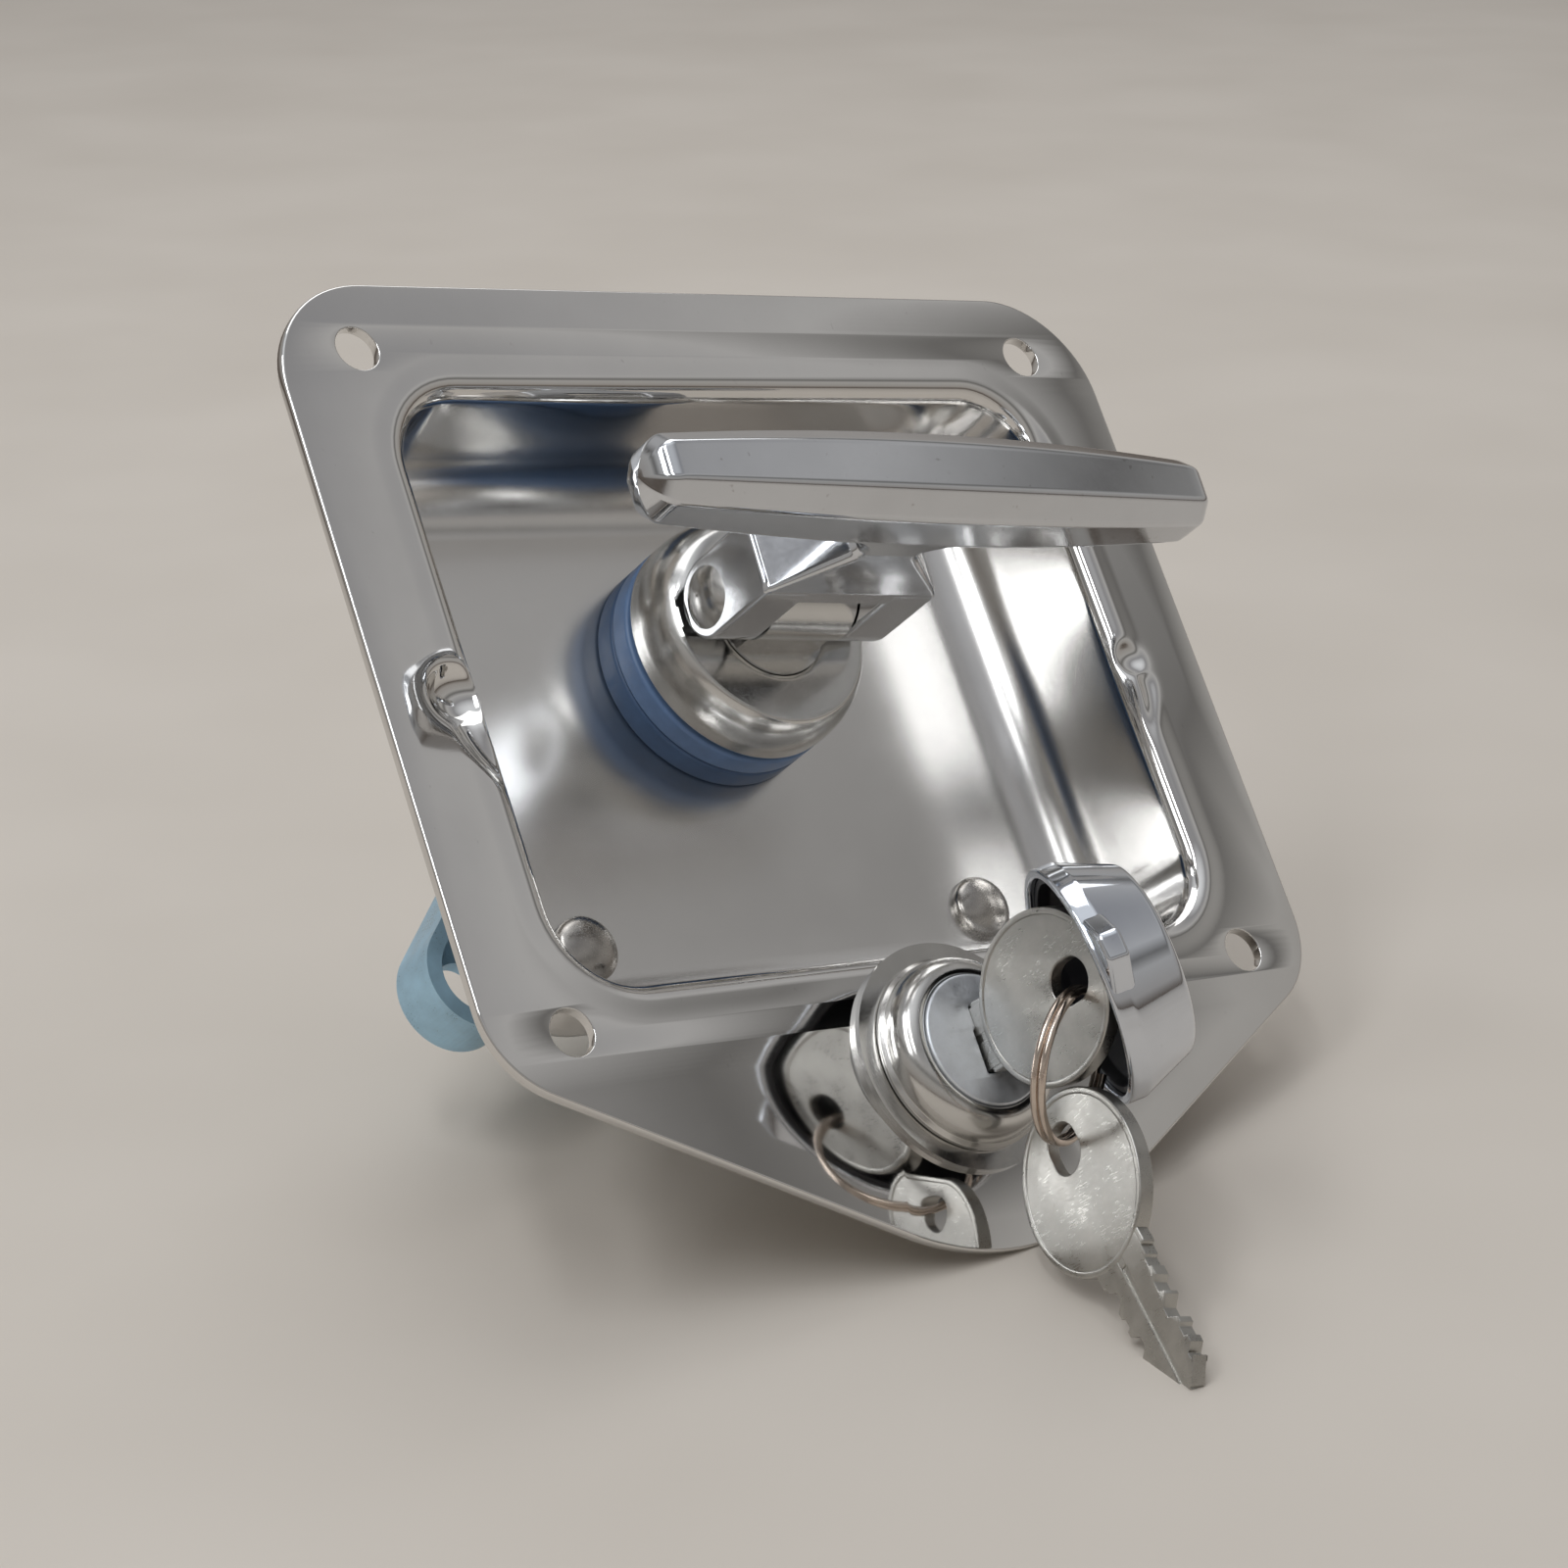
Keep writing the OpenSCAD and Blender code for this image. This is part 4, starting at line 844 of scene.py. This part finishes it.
def make_key(name, body, place, node):
    """A flat blank: bow with a fine raised border, shoulder, and a blade of two rails on a core."""
    half = KEY_T / 2
    skin = Skin()
    a0 = math.asin(4.4 / (BOW_W / 2))
    a = np.linspace(a0, 2 * math.pi - a0, 110)
    bow = np.stack([-BOW_L / 2 + (BOW_L / 2 - 0.25) * np.cos(a), (BOW_W / 2 - 0.25) * np.sin(a)], -1)
    shoulder = rounded([bow[-1], (0.98, -4.38), (0.98, 4.38), bow[0]], 0.5, 4)[1:-1]
    plate(skin, np.concatenate([bow, shoulder]), [bow_hole()], 0.13 - half, half - 0.13, 0.22, 3, place)
    plate(skin, bow_loop(0.0), [bow_loop(0.85)], -half, half, 0.22, 3, place)
    for side in (-1, 1):
        plate(skin, blade_rail(side), [], 0.06 - half, half - 0.06, 0.14, 2, place)
    core = rounded([(-0.9, -0.6), (BLADE_L - 0.1, -0.6), (BLADE_L - 0.1, 0.6), (-0.9, 0.6)],
                   0.2, 2, closed=True)
    plate(skin, core, [], 0.34 - half, half - 0.34, 0.1, 2, place)
    skin.build(name, body, KEY_METAL, [node], sharp=40, weigh=True)


def make_split_ring():
    """Two close coils of one wire: the axis climbs one wire's width where the turns cross."""
    a = np.linspace(0.3, 4 * math.pi - 0.3, 361)
    climb = SPLIT_WIRE * (smooth((a - 2 * math.pi + 0.28) / 0.56) - 0.5)
    out = np.stack([np.cos(a), np.sin(a), 0 * a], -1)
    path = out * SPLIT_R + np.stack([0 * a, 0 * a, climb], -1)
    b = np.linspace(0, 2 * math.pi, 20, endpoint=False)
    r = SPLIT_WIRE * 0.515
    across = np.cos(b)[None, :, None] * out[:, None] + np.sin(b)[None, :, None] * np.array([0, 0, 1.0])
    tube = path[:, None] + r * across
    turn = turn_about("X", math.pi / 2 + SPLIT_TILT) @ turn_about("Y", SPLIT_TURN)
    tube = from_row(tube @ turn.T + split_place()[1])
    skin = Skin()
    skin.grid(tube)
    for ring in (tube[0], tube[-1]):
        mid = ring.mean(0)
        skin.grid(np.stack([ring, np.broadcast_to(mid, ring.shape)]))
    skin.build("split_ring_coils", "split_ring", WIRE, ["key_ring"], sharp=50)


make_key("key_one", "key", on_key, "key_in_lock")
make_key("key_two", "spare", on_spare, "spare_key")
make_split_ring()


# Carried-over solids and their finishes.

FINISHES = {
    "pan_rivets": NICKEL, "seal_ring": SEAL_BLUE, "bearing_ring": BEARING_BLUE, "collar": TURNED,
    "spindle": TURNED, "handle_pin": TURNED, "t_handle": CHROME, "rear_bush": BRONZE, "lock_disc": ZINC,
    "arm_spacer": ZINC, "latch_arm": ARM, "arm_washer": ZINC, "spring_washer": SPRING, "arm_nut": YELLOW_ZINC,
    "slide_guide": NYLON, "slide_bracket": ZINC, "lock_slide": ZINC, "lock_body": BEZEL,
    "lock_nut": YELLOW_ZINC, "lock_nut_washer": ZINC, "hinge_ring": BEZEL, "lock_plug": PLUG,
    "wafer_tumblers": BRASS, "tail_cam": ZINC,
    "tail_screw": SPRING, "weather_cap": CAP_CHROME, "cap_liner": LINER_WITH_PAINTED_SHADE, "cap_hinge_pin": TURNED,
    "key_in_lock": KEY_METAL, "key_ring": WIRE, "spare_key": KEY_METAL, "tray": STEEL,
}
for name, finish in FINISHES.items():
    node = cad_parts[name]
    node.data.materials.clear()
    node.data.materials.append(finish)


# The photograph's camera, solved from the four screw holes and the flange.

def make_camera():
    data = bpy.data.cameras.new("photo_camera")
    data.sensor_width = 36.0
    data.lens = 86.49
    data.clip_start = 0.01
    camera = bpy.data.objects.new("photo_camera", data)
    right = Vector((0.78372118, -0.53981414, -0.30721622))
    up = Vector((0.06019161, -0.42628553, 0.90258386))
    back = Vector((-0.61818936, -0.72586592, -0.30159671))
    turn = Matrix((right, up, back)).transposed().to_4x4()
    camera.matrix_world = Matrix.Translation((-0.28137, -0.31857, -0.14714)) @ turn
    bpy.context.scene.collection.objects.link(camera)
    bpy.context.scene.camera = camera


# The table it leans on: a plane under the flange's point and the spare key's tip.
TABLE_UP = Vector((-0.155, -0.649, 0.745)).normalized()
TABLE_POINT = Vector((-0.0073, -0.0271, -0.0982))


def make_floor():
    """A pale floor that is seen from above only, so that views from behind look through it."""
    side = TABLE_UP.cross(Vector((0, 1, 0))).normalized()
    ahead = TABLE_UP.cross(side)
    size = 1.6
    mesh = bpy.data.meshes.new("floor")
    corners = [TABLE_POINT - TABLE_UP * 0.0006 + side * size * u + ahead * size * v
               for u, v in ((-1, -1), (1, -1), (1, 1), (-1, 1))]
    if (corners[1] - corners[0]).cross(corners[2] - corners[1]).dot(TABLE_UP) < 0:
        corners.reverse()
    mesh.from_pydata([tuple(c) for c in corners], [], [(0, 1, 2, 3)])
    floor = bpy.data.objects.new("floor", mesh)
    bpy.context.scene.collection.objects.link(floor)
    f = Finish("pale_floor")
    tone = f.mix(f.span(f.noise(60.0, 2.0), 0.3, 0.7, 0, 1), (0.62, 0.57, 0.51), (0.66, 0.61, 0.55))
    f.link(tone, f.shader.inputs["Base Color"])
    f.shader.inputs["Roughness"].default_value = 0.7
    clear = f.tree.nodes.new("ShaderNodeBsdfTransparent")
    side_mix = f.tree.nodes.new("ShaderNodeMixShader")
    facing = f.tree.nodes.new("ShaderNodeNewGeometry")
    f.link(facing.outputs["Backfacing"], side_mix.inputs[0])
    f.link(f.shader.outputs[0], side_mix.inputs[1])
    f.link(clear.outputs[0], side_mix.inputs[2])
    f.link(side_mix.outputs[0], f.tree.nodes["Material Output"].inputs["Surface"])
    mesh.materials.append(f.material)


def make_world():
    """A soft grey room: light at the top, with darker bands low down for the chrome to show."""
    world = bpy.data.worlds.new("room")
    bpy.context.scene.world = world
    world.use_nodes = True
    tree = world.node_tree
    coords = tree.nodes.new("ShaderNodeTexCoord")
    dot = tree.nodes.new("ShaderNodeVectorMath")
    dot.operation = "DOT_PRODUCT"
    dot.inputs[1].default_value = TABLE_UP
    tree.links.new(coords.outputs["Generated"], dot.inputs[0])
    lift = tree.nodes.new("ShaderNodeMapRange")
    lift.inputs["From Min"].default_value = -0.2
    lift.inputs["From Max"].default_value = 1.0
    tree.links.new(dot.outputs["Value"], lift.inputs["Value"])
    ramp = tree.nodes.new("ShaderNodeValToRGB")
    ramp.color_ramp.elements[0].color = (0.10, 0.08, 0.065, 1)
    ramp.color_ramp.elements[1].color = (0.80, 0.82, 0.85, 1)
    bands = ((0.16, (0.12, 0.10, 0.085, 1)), (0.27, (0.34, 0.32, 0.30, 1)),
             (0.50, (0.40, 0.39, 0.375, 1)), (0.60, (0.16, 0.155, 0.15, 1)),
             (0.70, (0.46, 0.455, 0.45, 1)), (0.86, (0.30, 0.30, 0.31, 1)))
    for at, colour in bands:
        ramp.color_ramp.elements.new(at).color = colour
    tree.links.new(lift.outputs["Result"], ramp.inputs["Fac"])
    ground = tree.nodes["Background"]
    ground.inputs["Strength"].default_value = 1.0
    tree.links.new(ramp.outputs["Color"], ground.inputs["Color"])


def make_lamp(name, place, aim, size, power, colour=(1, 1, 1)):
    data = bpy.data.lights.new(name, "AREA")
    data.shape = "RECTANGLE"
    data.size, data.size_y = size
    data.energy = power
    data.color = colour
    lamp = bpy.data.objects.new(name, data)
    lamp.location = place
    lamp.rotation_euler = (Vector(aim) - Vector(place)).to_track_quat("-Z", "Y").to_euler()
    bpy.context.scene.collection.objects.link(lamp)


make_camera()
make_floor()
make_world()
make_lamp("window_left", (-0.80, -0.50, 0.55), (0, 0, 0), (0.20, 0.8), 2.6, (0.96, 0.98, 1.0))
make_lamp("window_far", (-0.55, -0.72, 0.50), (0, 0, 0), (0.10, 0.7), 1.6, (0.96, 0.98, 1.0))
make_lamp("window_above", (0.15, -0.25, 0.95), (0, 0, 0), (0.9, 0.5), 2.2)

bpy.context.scene.view_settings.view_transform = "Standard"
